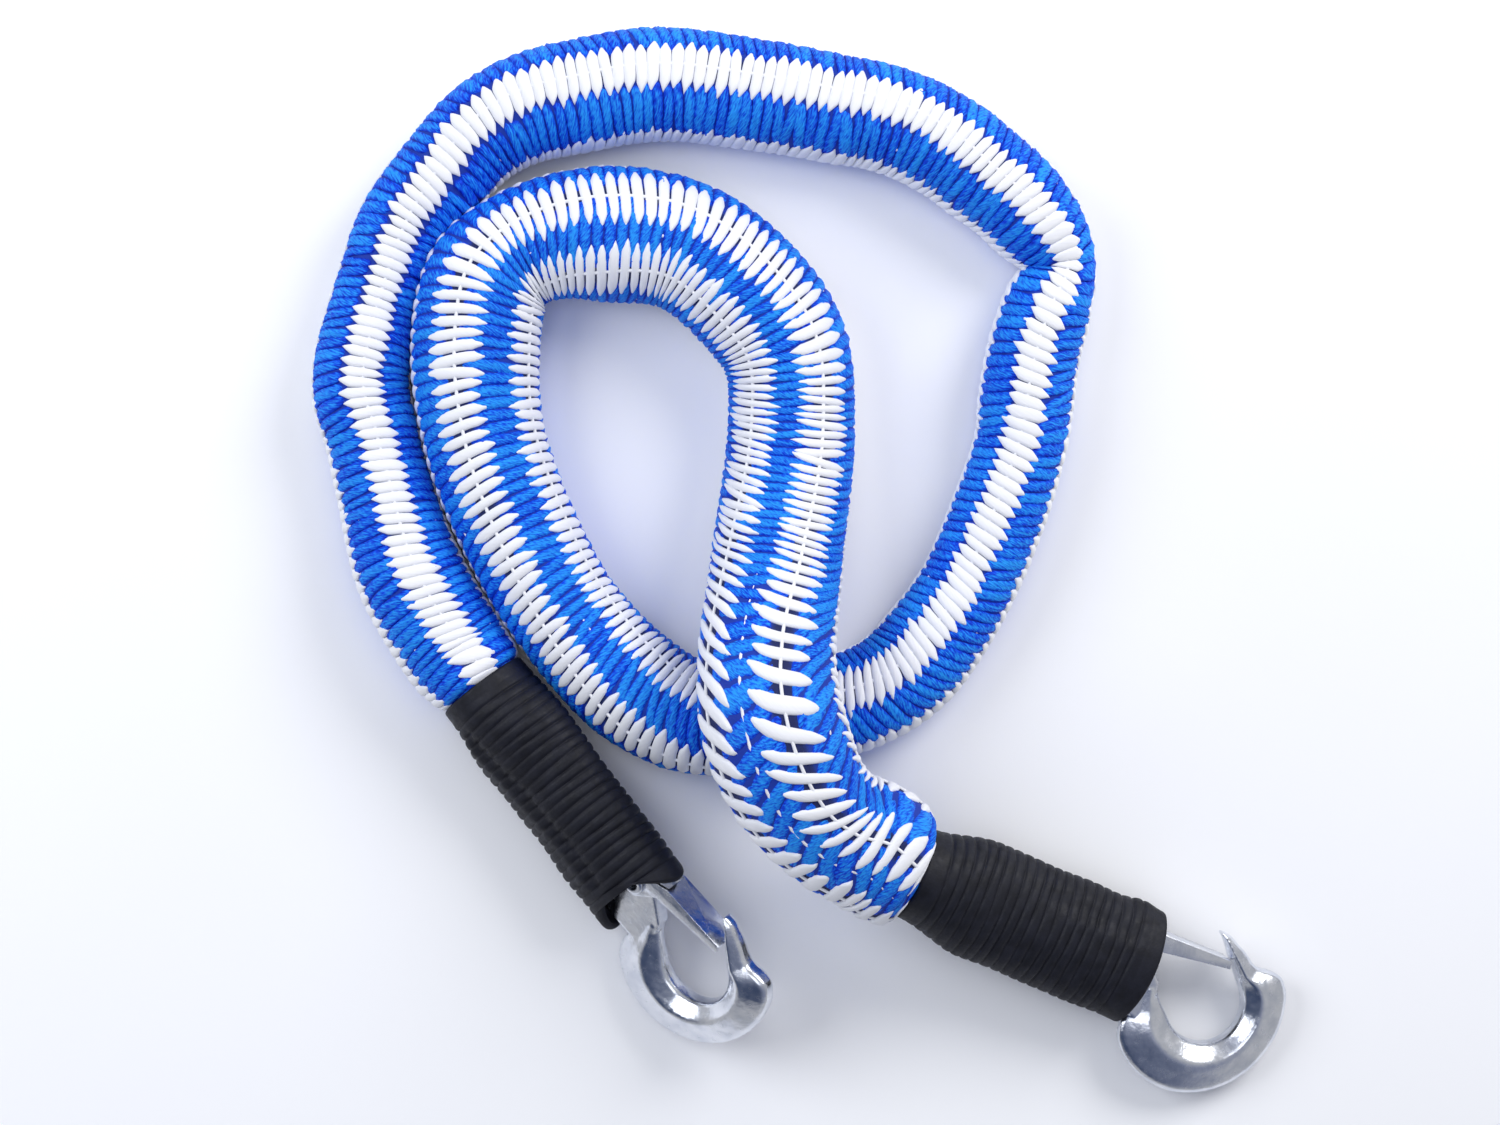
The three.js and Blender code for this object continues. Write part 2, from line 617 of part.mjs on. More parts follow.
function latch() {
  const side = new THREE.Shape();
  side.moveTo(latchLength, -LATCH_DROP);
  side.lineTo(latchLength, LATCH_TIP_TOP);
  side.lineTo(LATCH_SHOULDER_X, LATCH_SHOULDER_Y);
  side.absarc(0, 0, LATCH_EAR, radians(EAR_START), radians(EAR_END), false);
  side.lineTo(LATCH_WAIST_X, LATCH_WAIST_Y);
  side.closePath();
  const inside = new THREE.Shape();
  inside.moveTo(-LATCH_EAR - BEYOND, -LATCH_EAR - BEYOND);
  inside.lineTo(latchLength + BEYOND, -LATCH_EAR - BEYOND);
  inside.lineTo(latchLength + BEYOND, webUnder(latchLength + BEYOND));
  inside.lineTo(LATCH_SHOULDER_X, webUnder(LATCH_SHOULDER_X));
  inside.lineTo(LATCH_SHOULDER_X, LATCH_SHOULDER_Y + BEYOND);
  inside.lineTo(-LATCH_EAR - BEYOND, LATCH_SHOULDER_Y + BEYOND);
  inside.closePath();
  const hole = cylinderAlongZ(PIN_RADIUS + PIN_PLAY, -latchHalf - BEYOND, latchHalf + BEYOND, PIN_SIDES);
  return geometryOf(
    solid(plate(side, -latchHalf, latchHalf))
      .subtract(solid(plate(inside, -flangeInside, flangeInside)))
      .subtract(solid(hole)),
  );
}
function latchPin() {
  const under = latchHalf + GAP;
  const end = under + PIN_HEAD;
  const profile = [
    [PIN_BORE, -end],
    [PIN_HEAD_RADIUS, -end],
    [PIN_HEAD_RADIUS, -under],
    [PIN_RADIUS, -under],
    [PIN_RADIUS, under],
    [PIN_HEAD_RADIUS, under],
    [PIN_HEAD_RADIUS, end],
    [PIN_BORE, end],
    [PIN_BORE, -end],
  ].map(([r, z]) => new THREE.Vector2(r, z));
  return new THREE.LatheGeometry(profile, PIN_SIDES).rotateX(Math.PI / 2);
}

// Torsion spring: coils round the pin in the hook's pocket, with one leg under the latch's web
function latchSpring() {
  const low = SEAT_FLOOR + GAP + SPRING_WIRE / 2;
  const high = SHANK_THICKNESS / 2 + GAP + SPRING_WIRE / 2;
  const steps = Math.round(SPRING_TURNS * SPRING_STEPS);
  const leaves = Math.PI / 2; // where the coil runs off along the latch
  const path = Array.from({ length: steps + 1 }, (_, i) => {
    const turn = leaves + (2 * Math.PI * (steps - i)) / SPRING_STEPS;
    const z = THREE.MathUtils.lerp(low, high, i / steps);
    return vec(springRadius * Math.cos(turn), springRadius * Math.sin(turn), z);
  });
  const legEnd = LATCH_SHOULDER_X + SPRING_LEG;
  const legBend = (springRadius + legEnd) / 2;
  path.push(vec(legBend, springRadius, high), vec(legEnd, webUnder(legEnd) - GAP - SPRING_WIRE / 2, high));
  return wire(path, () => vec(0, 0, 1), SPRING_WIRE / 2, SPRING_SIDES);
}

function ropeEnd(end, frame) {
  const part = (piece) => end.side + "_" + piece;
  const latchGroup = new THREE.Group();
  latchGroup.position.set(PIVOT_X, PIVOT_Y, 0);
  latchGroup.rotation.z = latchTurn;
  latchGroup.add(
    named(part("latch"), latch(), zincFinish()),
    named(part("latch_pin"), latchPin(), zincFinish()),
    named(part("latch_spring"), latchSpring(), springFinish()),
  );
  const hookGroup = new THREE.Group();
  hookGroup.position.set(-end.eyeDepth, 0, 0);
  hookGroup.rotation.z = radians(end.hookTurn);
  hookGroup.add(named(part("hook"), hook(), zincFinish()), latchGroup);
  frame.add(
    named(part("sleeve"), sleeve(end), sleeveFinish()),
    named(part("braid_loop"), braidLoop(end), braidFinish()),
    named(part("whipping"), whipping(end), sleeveFinish()),
    hookGroup,
  );
  return frame;
}

// The whole rope, moved so that its box stands centred on the origin
const assembly = new THREE.Group();
assembly.add(named("rope_sheath", ropeSheath(), braidFinish()));
for (let k = 0; k < CORE_STRANDS; k++) {
  assembly.add(named("core_strand_" + (k + 1), coreStrand(k), rubberFinish()));
}
ENDS.forEach((end, i) => assembly.add(ropeEnd(end, frames[i])));
assembly.updateMatrixWorld(true);
const box = new THREE.Box3().setFromObject(assembly, true);
const middle = box.getCenter(vec(0, 0, 0));
assembly.position.set(-middle.x, -middle.y, -box.min.z);
const towRope = new THREE.Group();
towRope.add(assembly);

const place = (p) => p.toArray().map(Math.round).join(", ");
const least = ropeGap();
console.log("rope length " + ropeLength.toFixed(1) + " mm");
console.log("least gap to itself " + least.gap.toFixed(2) + " mm");
console.log("where: " + place(least.from) + " and " + place(least.to));
console.log("box middle " + middle.x.toFixed(3) + ", " + middle.y.toFixed(3));
console.log("floor " + box.min.z.toFixed(3));

export default towRope;
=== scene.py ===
import math
from contextlib import contextmanager

import bmesh
import bpy
import numpy as np
from mathutils import Matrix, Vector


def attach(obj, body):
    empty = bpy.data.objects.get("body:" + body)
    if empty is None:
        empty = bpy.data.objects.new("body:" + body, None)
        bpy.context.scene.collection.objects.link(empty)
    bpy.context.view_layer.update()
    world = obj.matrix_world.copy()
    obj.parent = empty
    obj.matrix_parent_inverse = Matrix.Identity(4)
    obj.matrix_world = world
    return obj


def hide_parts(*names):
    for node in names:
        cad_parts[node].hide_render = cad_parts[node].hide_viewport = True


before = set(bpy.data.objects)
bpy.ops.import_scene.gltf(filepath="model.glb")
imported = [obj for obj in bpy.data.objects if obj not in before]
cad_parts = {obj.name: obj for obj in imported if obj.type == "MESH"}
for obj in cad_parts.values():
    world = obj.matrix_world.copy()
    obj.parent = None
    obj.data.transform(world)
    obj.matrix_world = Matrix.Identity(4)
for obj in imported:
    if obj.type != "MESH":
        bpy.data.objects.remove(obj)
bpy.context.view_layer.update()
BODY = "rope"
MM = 0.001
DEGREE = math.pi / 180

# Middle of the CAD box in the frame of the route below, whose origin is the photograph's centre
BOX_MIDDLE = np.array([0.018342, 0.000666, 0.0])
CAMERA_HEIGHT = 1.1
CAMERA_NEAR = 0.01
PIXEL_AT_FLOOR = 0.00034426  # metres to a pixel of the photograph
IMAGE_WIDTH = 1500
SENSOR = 36.0

# Rope route in mm: x, y and diameter at each point, and how far points are lifted above where they would lie
ROUTE = np.array([
    (-100, -30, 36.5), (-115.5, -4, 36.5), (-124, 23, 32.5), (-130.5, 52, 30.5), (-131, 81, 29.5),
    (-125.5, 103.5, 30), (-116.5, 121, 31), (-96, 140, 33.5), (-67.5, 157, 37.5), (-34, 163.5, 38),
    (0, 160, 37), (39, 151.5, 36), (76.5, 132.5, 35), (98.5, 114.5, 32), (106, 100.5, 26.5), (101, 85.5, 30.5),
    (95.5, 53.5, 33), (85, 18, 35), (65.5, -21, 35), (46, -42, 34), (5, -54, 34.5), (-20.5, -52, 38.5),
    (-40, -41.5, 40), (-61.5, -18.5, 38), (-76, 6, 39.5), (-89.5, 40, 41), (-93, 72, 41.5), (-88.5, 96, 41.5),
    (-77.5, 106.5, 40), (-51, 112, 44.5), (-23, 108.5, 42.5), (-3, 94.5, 43), (11.5, 74.5, 42.5), (14, 45, 43),
    (9, 1, 44), (5.5, -32, 45), (7, -50, 47), (14.5, -68.5, 47), (28, -85.5, 44.5), (41, -95, 43),
])
LIFT_KEYS = [(33, 0), (34, 13), (35, 33), (36, 39), (37, 36), (38, 28), (39, 21)]
REST_CUT = 0.1  # share of its diameter by which the rope flattens where it lies
ROPE_INSERT = 0.014  # how far the rope goes into each sleeve
NECK_RUN = 0.006  # outside a sleeve, the rope has swollen to NECK_SWELL of its next size here
NECK_SWELL = 0.94

# Rope ends: where the rope enters the sleeve, heading, droop and roll in degrees, and sizes that differ by end.
# A fold has its direction and width in degrees, height in mm, and its start and stop in mm from the sleeve's mouth.
# A lump has its direction, width, height, place and reach
ENDS = [
    {
        "side": "left", "entry": (-0.0909, -0.0414, 0.0161), "heading": -52.5, "droop": -3.7, "roll": 40.0,
        "length": 0.093, "neck": 0.0265, "eye_depth": 0.022, "hook_turn": 5.5, "arch": 0.0105,
        "folds": [(100, 6, -1.1, -86, -10), (112, 8, 0.5, -84, -14), (20, 10, 0.35, -60, -6)],
        "lumps": [(75, 30, 0.5, -40, 14), (130, 25, 0.6, -22, 9)],
    },
    {
        "side": "right", "entry": (0.0541, -0.1031, 0.032), "heading": -23.6, "droop": 10.6, "roll": 4.0,
        "length": 0.087, "neck": 0.027, "eye_depth": 0.0227, "hook_turn": 0.0, "arch": -0.0015,
        "folds": [(60, 9, -0.6, -46, -4), (75, 8, 0.5, -40, -4), (120, 10, -0.5, -58, -14)],
        "lumps": [(5, 26, 1.4, -9, 5), (95, 30, 0.6, -30, 12)],
    },
]

# Braid: columns of yarn round the rope, keyed along the route by point number
COLUMNS = 8
# Turn of the columns round the rope, in degrees
ROLL_KEYS = [
    (-0.5, 16), (0.4, 12), (2.5, 12), (3.2, 6), (4.2, 8), (5.5, 9), (6.2, 6), (6.8, -4), (7.3, -8),
    (8.2, -11), (10.8, -12), (11.4, -11), (12, -5), (12.5, -3), (13.1, -7), (13.6, -11), (14.4, -3),
    (15.2, 0), (16, 3), (16.6, 7), (17.3, 10), (18, 9), (19, 13), (20, 24), (21.2, 40), (21.8, 48),
    (22.3, 53), (22.7, 60), (23, 62), (25, 72), (26.5, 72), (28, 66), (29.5, 47), (33, 51), (33.4, 53),
    (34.4, 65), (35, 74), (38, 76), (39, 73),
]
# Spacing of the rows in mm
PITCH_KEYS = [
    (0, 3.6), (1.2, 3.7), (2.1, 3.9), (3, 3.6), (4, 3.5), (6, 3.6), (6.9, 4.1), (7.7, 3.8), (9, 3.8),
    (10.5, 3.85), (11.7, 3.5), (12.5, 3.6), (13.6, 4.1), (16.6, 4.1), (17.3, 3.75), (18.5, 3.6),
    (19.5, 3.6), (20.7, 3.9), (21.8, 3.6), (22.6, 3.8), (23.5, 4.2), (25.7, 4.35), (26.6, 3.85), (28, 3.9),
    (28.9, 3.6), (29.8, 3.95), (31, 3.6), (33.3, 3.4), (33.9, 3.6), (34.5, 4.9), (35.2, 5.8), (36.5, 6.2),
    (37.6, 5.8), (39, 5.4),
]
# 1 where the braid gapes most
OPEN_KEYS = [
    (19, 0), (21.5, 0.45), (31.5, 0.45), (33.6, 0.4), (34.5, 0.7), (35.2, 1), (37.6, 1), (38.6, 0.85),
    (40, 0.7),
]
# How far the columns on top have widened, or drawn together where it is negative
SPREAD_KEYS = [
    (0, 0.05), (2.4, 0.1), (3.2, 0.3), (7, 0.34), (8.5, 0.15), (12, 0.12), (19, 0.1), (21, 0),
    (22.5, -0.12), (24, -0.18), (28, -0.22), (29.5, -0.3), (33, -0.27), (36, -0.25), (39, -0.22),
]
# How far the rope wavers to its right, and swells, in mm
WAVER_KEYS = [
    (0, 0), (2.8, 0.5), (3.1, -1.2), (3.4, -1.2), (3.6, 0), (3.9, 1.5), (4.2, 2), (4.7, 2.8), (5.3, 2.3),
    (6.4, 1.7), (6.7, 0.7), (7, -1.1), (7.3, -2.2), (7.7, -1.2), (7.9, 0), (8.3, 1.8), (8.9, 1.2),
    (10.8, 0.5), (11, -1.3), (11.4, -2.8), (11.8, -2.6), (12, -1.4), (12.5, -0.8), (12.8, 0.5), (13.5, 0),
    (15.1, 0.4), (15.4, 1.9), (15.7, 2.5), (16, 1.9), (16.3, 0.3), (17, 0.2), (17.6, -0.5), (18.4, 0),
    (28.6, 0), (29.2, 1), (31.6, 1), (32.4, 0), (36, 0), (36.8, 1), (37.6, 2.2), (38.2, 1.5), (38.8, 0),
]
SWELL_KEYS = [
    (2.6, 0), (3.1, 1.3), (3.8, 1.3), (4.4, 0), (12.8, 0), (13.5, -1.4), (13.9, -1.8), (14.3, -1.4),
    (14.8, 0), (16, -0.5), (16.4, -1.6), (17.7, -1.5), (18.4, 0), (25.2, 0), (25.9, 1), (27, 1), (27.6, 0),
    (28.6, 0), (29.2, 1), (31.6, 1), (32.4, 0), (36.6, 0), (37.4, -1.2), (38, -1.2), (38.6, 0), (39.2, 1),
    (39.8, 1),
]
EVEN_ROWS = 0.1  # how far each column keeps its own row spacing round bends
ROW_LEAD = 0.15  # how far the rows run ahead on the rope's top, as a share of its radius
# Slant of the yarns from square across the rope, in degrees
WHITE_SLANT_KEYS = [
    (0, -14), (2, -10), (5, -4), (8, -6), (12, -9), (14, -16), (20, -17), (21.5, -6), (24, 2), (31, 0),
    (33, -4), (34, -8), (35, -18), (36, -24), (36.6, -25), (37.2, -22), (38, -12), (39, -4),
]
BLUE_SLANT_KEYS = [
    (0, 8), (12, 8), (14, 16), (20, 18), (22, 12), (26, 4), (31, 2), (34, 4), (35, 18), (35.6, 30),
    (37.2, 32), (38.5, 15), (39, 10),
]

rng = np.random.default_rng(7)
scene = bpy.context.scene


def link(obj):
    scene.collection.objects.link(obj)
    return obj


def assign(thing, **settings):
    for name, value in settings.items():
        setattr(thing, name, value)
    return thing


def mesh_object(name, points, faces, smooth=True):
    mesh = bpy.data.meshes.new(name)
    mesh.from_pydata([tuple(p) for p in points], [], [tuple(f) for f in faces])
    mesh.update()
    if smooth:
        mesh.shade_smooth()
    return link(bpy.data.objects.new(name, mesh))


def fast_mesh(name, points, quads):
    """A mesh from arrays, for the many yarns of the braid."""
    mesh = bpy.data.meshes.new(name)
    mesh.vertices.add(points.size // 3)
    mesh.vertices.foreach_set("co", points.astype(np.float32).ravel())
    mesh.loops.add(quads.size)
    mesh.loops.foreach_set("vertex_index", quads.astype(np.int32).ravel())
    mesh.polygons.add(quads.size // 4)
    mesh.polygons.foreach_set("loop_start", np.arange(0, quads.size, 4, dtype=np.int32))
    mesh.update(calc_edges=True)
    mesh.validate()
    mesh.shade_smooth()
    return link(bpy.data.objects.new(name, mesh))


@contextmanager
def edited(piece):
    """A piece's mesh, opened for editing and then written back."""
    edit = bmesh.new()
    edit.from_mesh(piece.data)
    yield edit
    edit.to_mesh(piece.data)
    edit.free()


def full_turn(sides):
    return np.linspace(0, math.tau, sides, endpoint=False)


def ring_quads(rings, sides, wrap=False):
    """Quads between successive rings of points, and from the last ring to the first where it wraps."""
    count = rings if wrap else rings - 1
    i, j = (g.ravel() for g in np.meshgrid(np.arange(count), np.arange(sides), indexing="ij"))
    j2 = (j + 1) % sides
    i2 = (i + 1) % rings
    return np.stack([i * sides + j, i2 * sides + j, i2 * sides + j2, i * sides + j2], axis=1)


def unit(vectors):
    return vectors / np.linalg.norm(vectors, axis=1)[:, None]


def length_along(points):
    return np.concatenate([[0], np.cumsum(np.linalg.norm(np.diff(points, axis=0), axis=1))])


# Camera: straight above the photograph's centre
camera = assign(
    bpy.data.cameras.new("camera"), sensor_width=SENSOR, clip_start=CAMERA_NEAR,
    lens=SENSOR * CAMERA_HEIGHT / (IMAGE_WIDTH * PIXEL_AT_FLOOR))
scene.camera = link(bpy.data.objects.new("camera", camera))
scene.camera.location = (-BOX_MIDDLE[0], -BOX_MIDDLE[1], CAMERA_HEIGHT)


def rotation(degrees, axis):
    return Matrix.Rotation(math.radians(degrees), 4, axis)


def end_matrix(end):
    turn = rotation(end["heading"], "Z") @ rotation(end["droop"], "Y") @ rotation(end["roll"], "X")
    entry = Matrix.Translation(Vector(end["entry"]) - Vector(BOX_MIDDLE))
    return entry @ turn @ Matrix.Translation((end["length"], 0, 0))


def along_end(end, *places):
    """Points on an end's axis, by how far into its sleeve they lie."""
    return [end_matrix(end) @ Vector((x - end["length"], 0, 0)) for x in places]


def centripetal(points, steps):
    """A centripetal curve through points, with some steps from each point to the next."""
    first = 2 * points[0] - points[1]
    last = 2 * points[-1] - points[-2]
    ring = np.vstack([first, points, last])
    t = np.linspace(0, 1, steps, endpoint=False)[:, None]
    out = []
    for i in range(len(points) - 1):
        p0, p1, p2, p3 = ring[i:i + 4]
        d0, d1, d2 = (max(np.linalg.norm(b - a), 1e-6) ** 0.5 for a, b in ((p0, p1), (p1, p2), (p2, p3)))
        m1 = ((p1 - p0) / d0 - (p2 - p0) / (d0 + d1) + (p2 - p1) / d1) * d1
        m2 = ((p2 - p1) / d1 - (p3 - p1) / (d1 + d2) + (p3 - p2) / d2) * d1
        c2 = -3 * p1 + 3 * p2 - 2 * m1 - m2
        c3 = 2 * p1 - 2 * p2 + m1 + m2
        out.append(p1 + m1 * t + c2 * t ** 2 + c3 * t ** 3)
    out.append(points[-1:])
    return np.vstack(out)


# The rope's middle line, from inside one sleeve to inside the other
CURVE_STEPS = 60
route_x, route_y, route_size = ROUTE.T / 1000
route_lift = np.interp(np.arange(len(ROUTE)), *zip(*LIFT_KEYS)) / 1000
lying = np.column_stack([route_x, route_y, route_size * (0.5 - REST_CUT) + route_lift]) - BOX_MIDDLE
left, right = ENDS
rope_points = np.vstack([
    along_end(left, ROPE_INSERT, 0, -NECK_RUN), lying, along_end(right, -NECK_RUN, 0, ROPE_INSERT)])
LEAD = 3  # points before the route's first
rope_sizes = np.concatenate([
    [left["neck"], left["neck"], NECK_SWELL * route_size[0]],
    route_size,
    [NECK_SWELL * route_size[-1], right["neck"], right["neck"]],
])
line = centripetal(rope_points, CURVE_STEPS)
run = length_along(line)
place = np.arange(len(line)) / CURVE_STEPS - LEAD  # route point number along the line

# Lengths of rope over which its wavering, its size and its yarns' turn are evened, and its shoulder at a sleeve
WAVER_EVEN = 0.016
SIZE_EVEN = 0.007
TURN_EVEN = 0.05
SHOULDER = 0.007
EVEN_STEPS = 2400


def smooth_along(values, width):
    """Values along the line, evened over a length of rope."""
    even = np.linspace(0, run[-1], EVEN_STEPS)
    v = np.interp(even, run, values)
    half = max(int(width / (even[1] - even[0]) / 2), 1)
    kernel = np.hanning(2 * half + 1)
    kernel /= kernel.sum()
    padded = np.pad(v, half, mode="edge")
    return np.interp(run, even, np.convolve(padded, kernel, mode="valid"))


def keyed(keys, even, unit=1.0):
    """Values along the line from keys by route point number, evened."""
    return smooth_along(np.interp(place, *zip(*keys)) * unit, even)


flat_way = unit(np.gradient(line[:, :2], run, axis=0))
waver = keyed(WAVER_KEYS, WAVER_EVEN, MM)
line[:, 0] += waver * flat_way[:, 1]
line[:, 1] -= waver * flat_way[:, 0]
run = length_along(line)
ROPE_LENGTH = run[-1]
tangent = unit(np.gradient(line, run, axis=0))
upward = unit(np.array([0, 0, 1.0]) - tangent * tangent[:, 2:3])
rightward = np.cross(tangent, upward)

rope_radius = smooth_along(np.interp(place, np.arange(len(rope_sizes)) - LEAD, rope_sizes), SIZE_EVEN) / 2
rope_radius += keyed(SWELL_KEYS, WAVER_EVEN, MM)
# The rope bulges out of each sleeve in a short round shoulder
for edge, end, step in ((run[CURVE_STEPS], left, 1), (run[-CURVE_STEPS - 1], right, -1)):
    neck = end["neck"] / 2
    out = np.clip(step * (run - edge) / SHOULDER, 0, 1)
    full = np.interp(edge + step * SHOULDER, run, rope_radius)
    rope_radius = np.where(out < 1, neck + (full - neck) * np.sqrt(1 - (1 - out) ** 2), rope_radius)
rope_roll = keyed(ROLL_KEYS, TURN_EVEN, DEGREE)
rope_pitch = keyed(PITCH_KEYS, TURN_EVEN, MM)
rope_open = keyed(OPEN_KEYS, TURN_EVEN)
rope_spread = keyed(SPREAD_KEYS, TURN_EVEN)
white_slant = keyed(WHITE_SLANT_KEYS, TURN_EVEN, DEGREE)
blue_slant = keyed(BLUE_SLANT_KEYS, TURN_EVEN, DEGREE)
rope_climb = smooth_along(tangent[:, 2] / np.hypot(tangent[:, 0], tangent[:, 1]), SIZE_EVEN)


FLOOR_SKIN = 0.0002  # the rope's underside stays this far above the floor


def at(s, values):
    """Values of the middle line at some lengths along it."""
    if values.ndim == 1:
        return np.interp(s, run, values)
    return np.stack([np.interp(s, run, values[:, k]) for k in range(values.shape[1])], axis=-1)


def above_floor(points):
    points[..., 2] = np.maximum(points[..., 2], FLOOR_SKIN)
    return points


def out_of_rope(s, angle):
    """Directions out of the rope, by length along it and angle from its top."""
    return np.cos(angle)[..., None] * at(s, upward) + np.sin(angle)[..., None] * at(s, rightward)


def on_rope(s, angle, radius):
    """Points beside the rope's middle line, by length along it, angle from its top and distance from it."""
    return above_floor(at(s, line) + radius[..., None] * out_of_rope(s, angle))


def spread(s, angle):
    """Angle from the top once the columns there have widened."""
    return angle + at(s, rope_spread) * np.sin(angle)


# Yarn shapes, with pairs for closed and gaping braid. Metres: height, under (how far below the white's tops) and rough.
# Shares of a row: fill and bow. Share of half a column: reach. Degrees: slant_vary. The rest shape tips and section
WHITE_STYLE = {
    "slant": white_slant, "slant_vary": 2.0, "reach": 1.1, "plateau": (0.55, 0.6), "taper": (0.95, 0.62),
    "fill": (1.06, 0.68), "vary": 0.05, "height": 0.0013, "crest": 0.6, "dip": 0.2, "bow": 0.06,
    "under": (0.0, 0.0), "rough": 0.00003,
}
BLUE_STYLE = {
    "slant": blue_slant, "slant_vary": 3.0, "reach": 1.25, "plateau": (0.84, 0.8), "taper": (0.5, 0.5),
    "fill": (1.05, 1.0), "vary": 0.06, "height": 0.0012, "crest": 0.6, "dip": 0.26, "bow": -0.08,
    "under": (0.0003, 0.0006), "rough": 0.00016,
}
YARN_PROUD = 0.0006  # how far the yarns stand out of the CAD tube
BASE_DEPTH = 0.0011  # how far the inner tube lies under the yarns' tops
HALF_ARC = math.radians(27)
ACROSS = 15
RING_TURNS = np.radians([0, 30, 60, 90, 120, 150, 180, 270])
UNDERSIDE = -0.5  # height of the section's last point, as a share of a yarn's height
TURN_VARY, REACH_VARY, HEIGHT_VARY = 0.018, 0.05, 0.08  # how far yarns differ: radians, then shares
USUAL_RADIUS, HEIGHT_RANGE = 0.017, (0.75, 1.15)  # a thinner rope has flatter yarns, within this range
TIP_WIDTH, TIP_TUCK = 0.05, 0.6  # of a yarn's tips, as shares of its width and height
PLY_SKEW = 0.45  # slope of the fibres across a twisted yarn
FIBRE_SHIFT = 40  # mm over which yarns take their fibres
TIP_SHADE_FADE = 0.5  # how far painted shade darkens a yarn towards its tips
COLUMN_TURN = math.tau / COLUMNS
ROW_SAMPLES = 4000
ROW_MARGIN = 0.003
STRETCH_WINDOW = 41


def column_rows(column):
    """Rows of one column, spaced along its own path: place, spacing, and its length to a length of middle line."""
    s = np.linspace(0, ROPE_LENGTH, ROW_SAMPLES)
    path = on_rope(s, spread(s, at(s, rope_roll) + column * COLUMN_TURN), at(s, rope_radius))
    stretch = np.linalg.norm(np.gradient(path, s, axis=0), axis=1)
    window = np.full(STRETCH_WINDOW, 1 / STRETCH_WINDOW)
    stretch = np.convolve(np.pad(stretch, STRETCH_WINDOW // 2, mode="edge"), window, mode="valid")
    density = stretch ** EVEN_ROWS / at(s, rope_pitch)
    count = np.concatenate([[0], np.cumsum((density[1:] + density[:-1]) / 2 * np.diff(s))])
    # Neighbouring columns lie half a row apart
    rows = np.interp(np.arange(0.5 * (column % 2), count[-1], 1.0), count, s)
    rows = rows[(rows > ROW_MARGIN) & (rows < ROPE_LENGTH - ROW_MARGIN)]
    return rows, np.interp(rows, s, 1 / density), np.interp(rows, s, stretch)


def stretch_rows(columns, first, last):
    """Rows of some columns on a stretch of rope: place, spacing, length to a length of middle line, and column."""
    found = []
    for column in columns:
        rows, spacing, stretch = column_rows(column)
        here = (rows >= first) & (rows < last)
        found.append(np.stack([rows[here], spacing[here], stretch[here], np.full(here.sum(), column)], axis=1))
    return np.vstack(found).T


def set_tone(piece, name, values):
    attribute = piece.data.attributes.new(name, "FLOAT", "POINT")
    attribute.data.foreach_set("value", np.asarray(values, dtype=np.float32).ravel())


def set_yarn_uv(piece, flat):
    mesh = piece.data
    corner = np.empty(len(mesh.loops), dtype=np.int32)
    mesh.loops.foreach_get("vertex_index", corner)
    uv = mesh.uv_layers.new(name="yarn")
    uv.data.foreach_set("uv", flat.reshape(-1, 2)[corner].astype(np.float32).ravel())


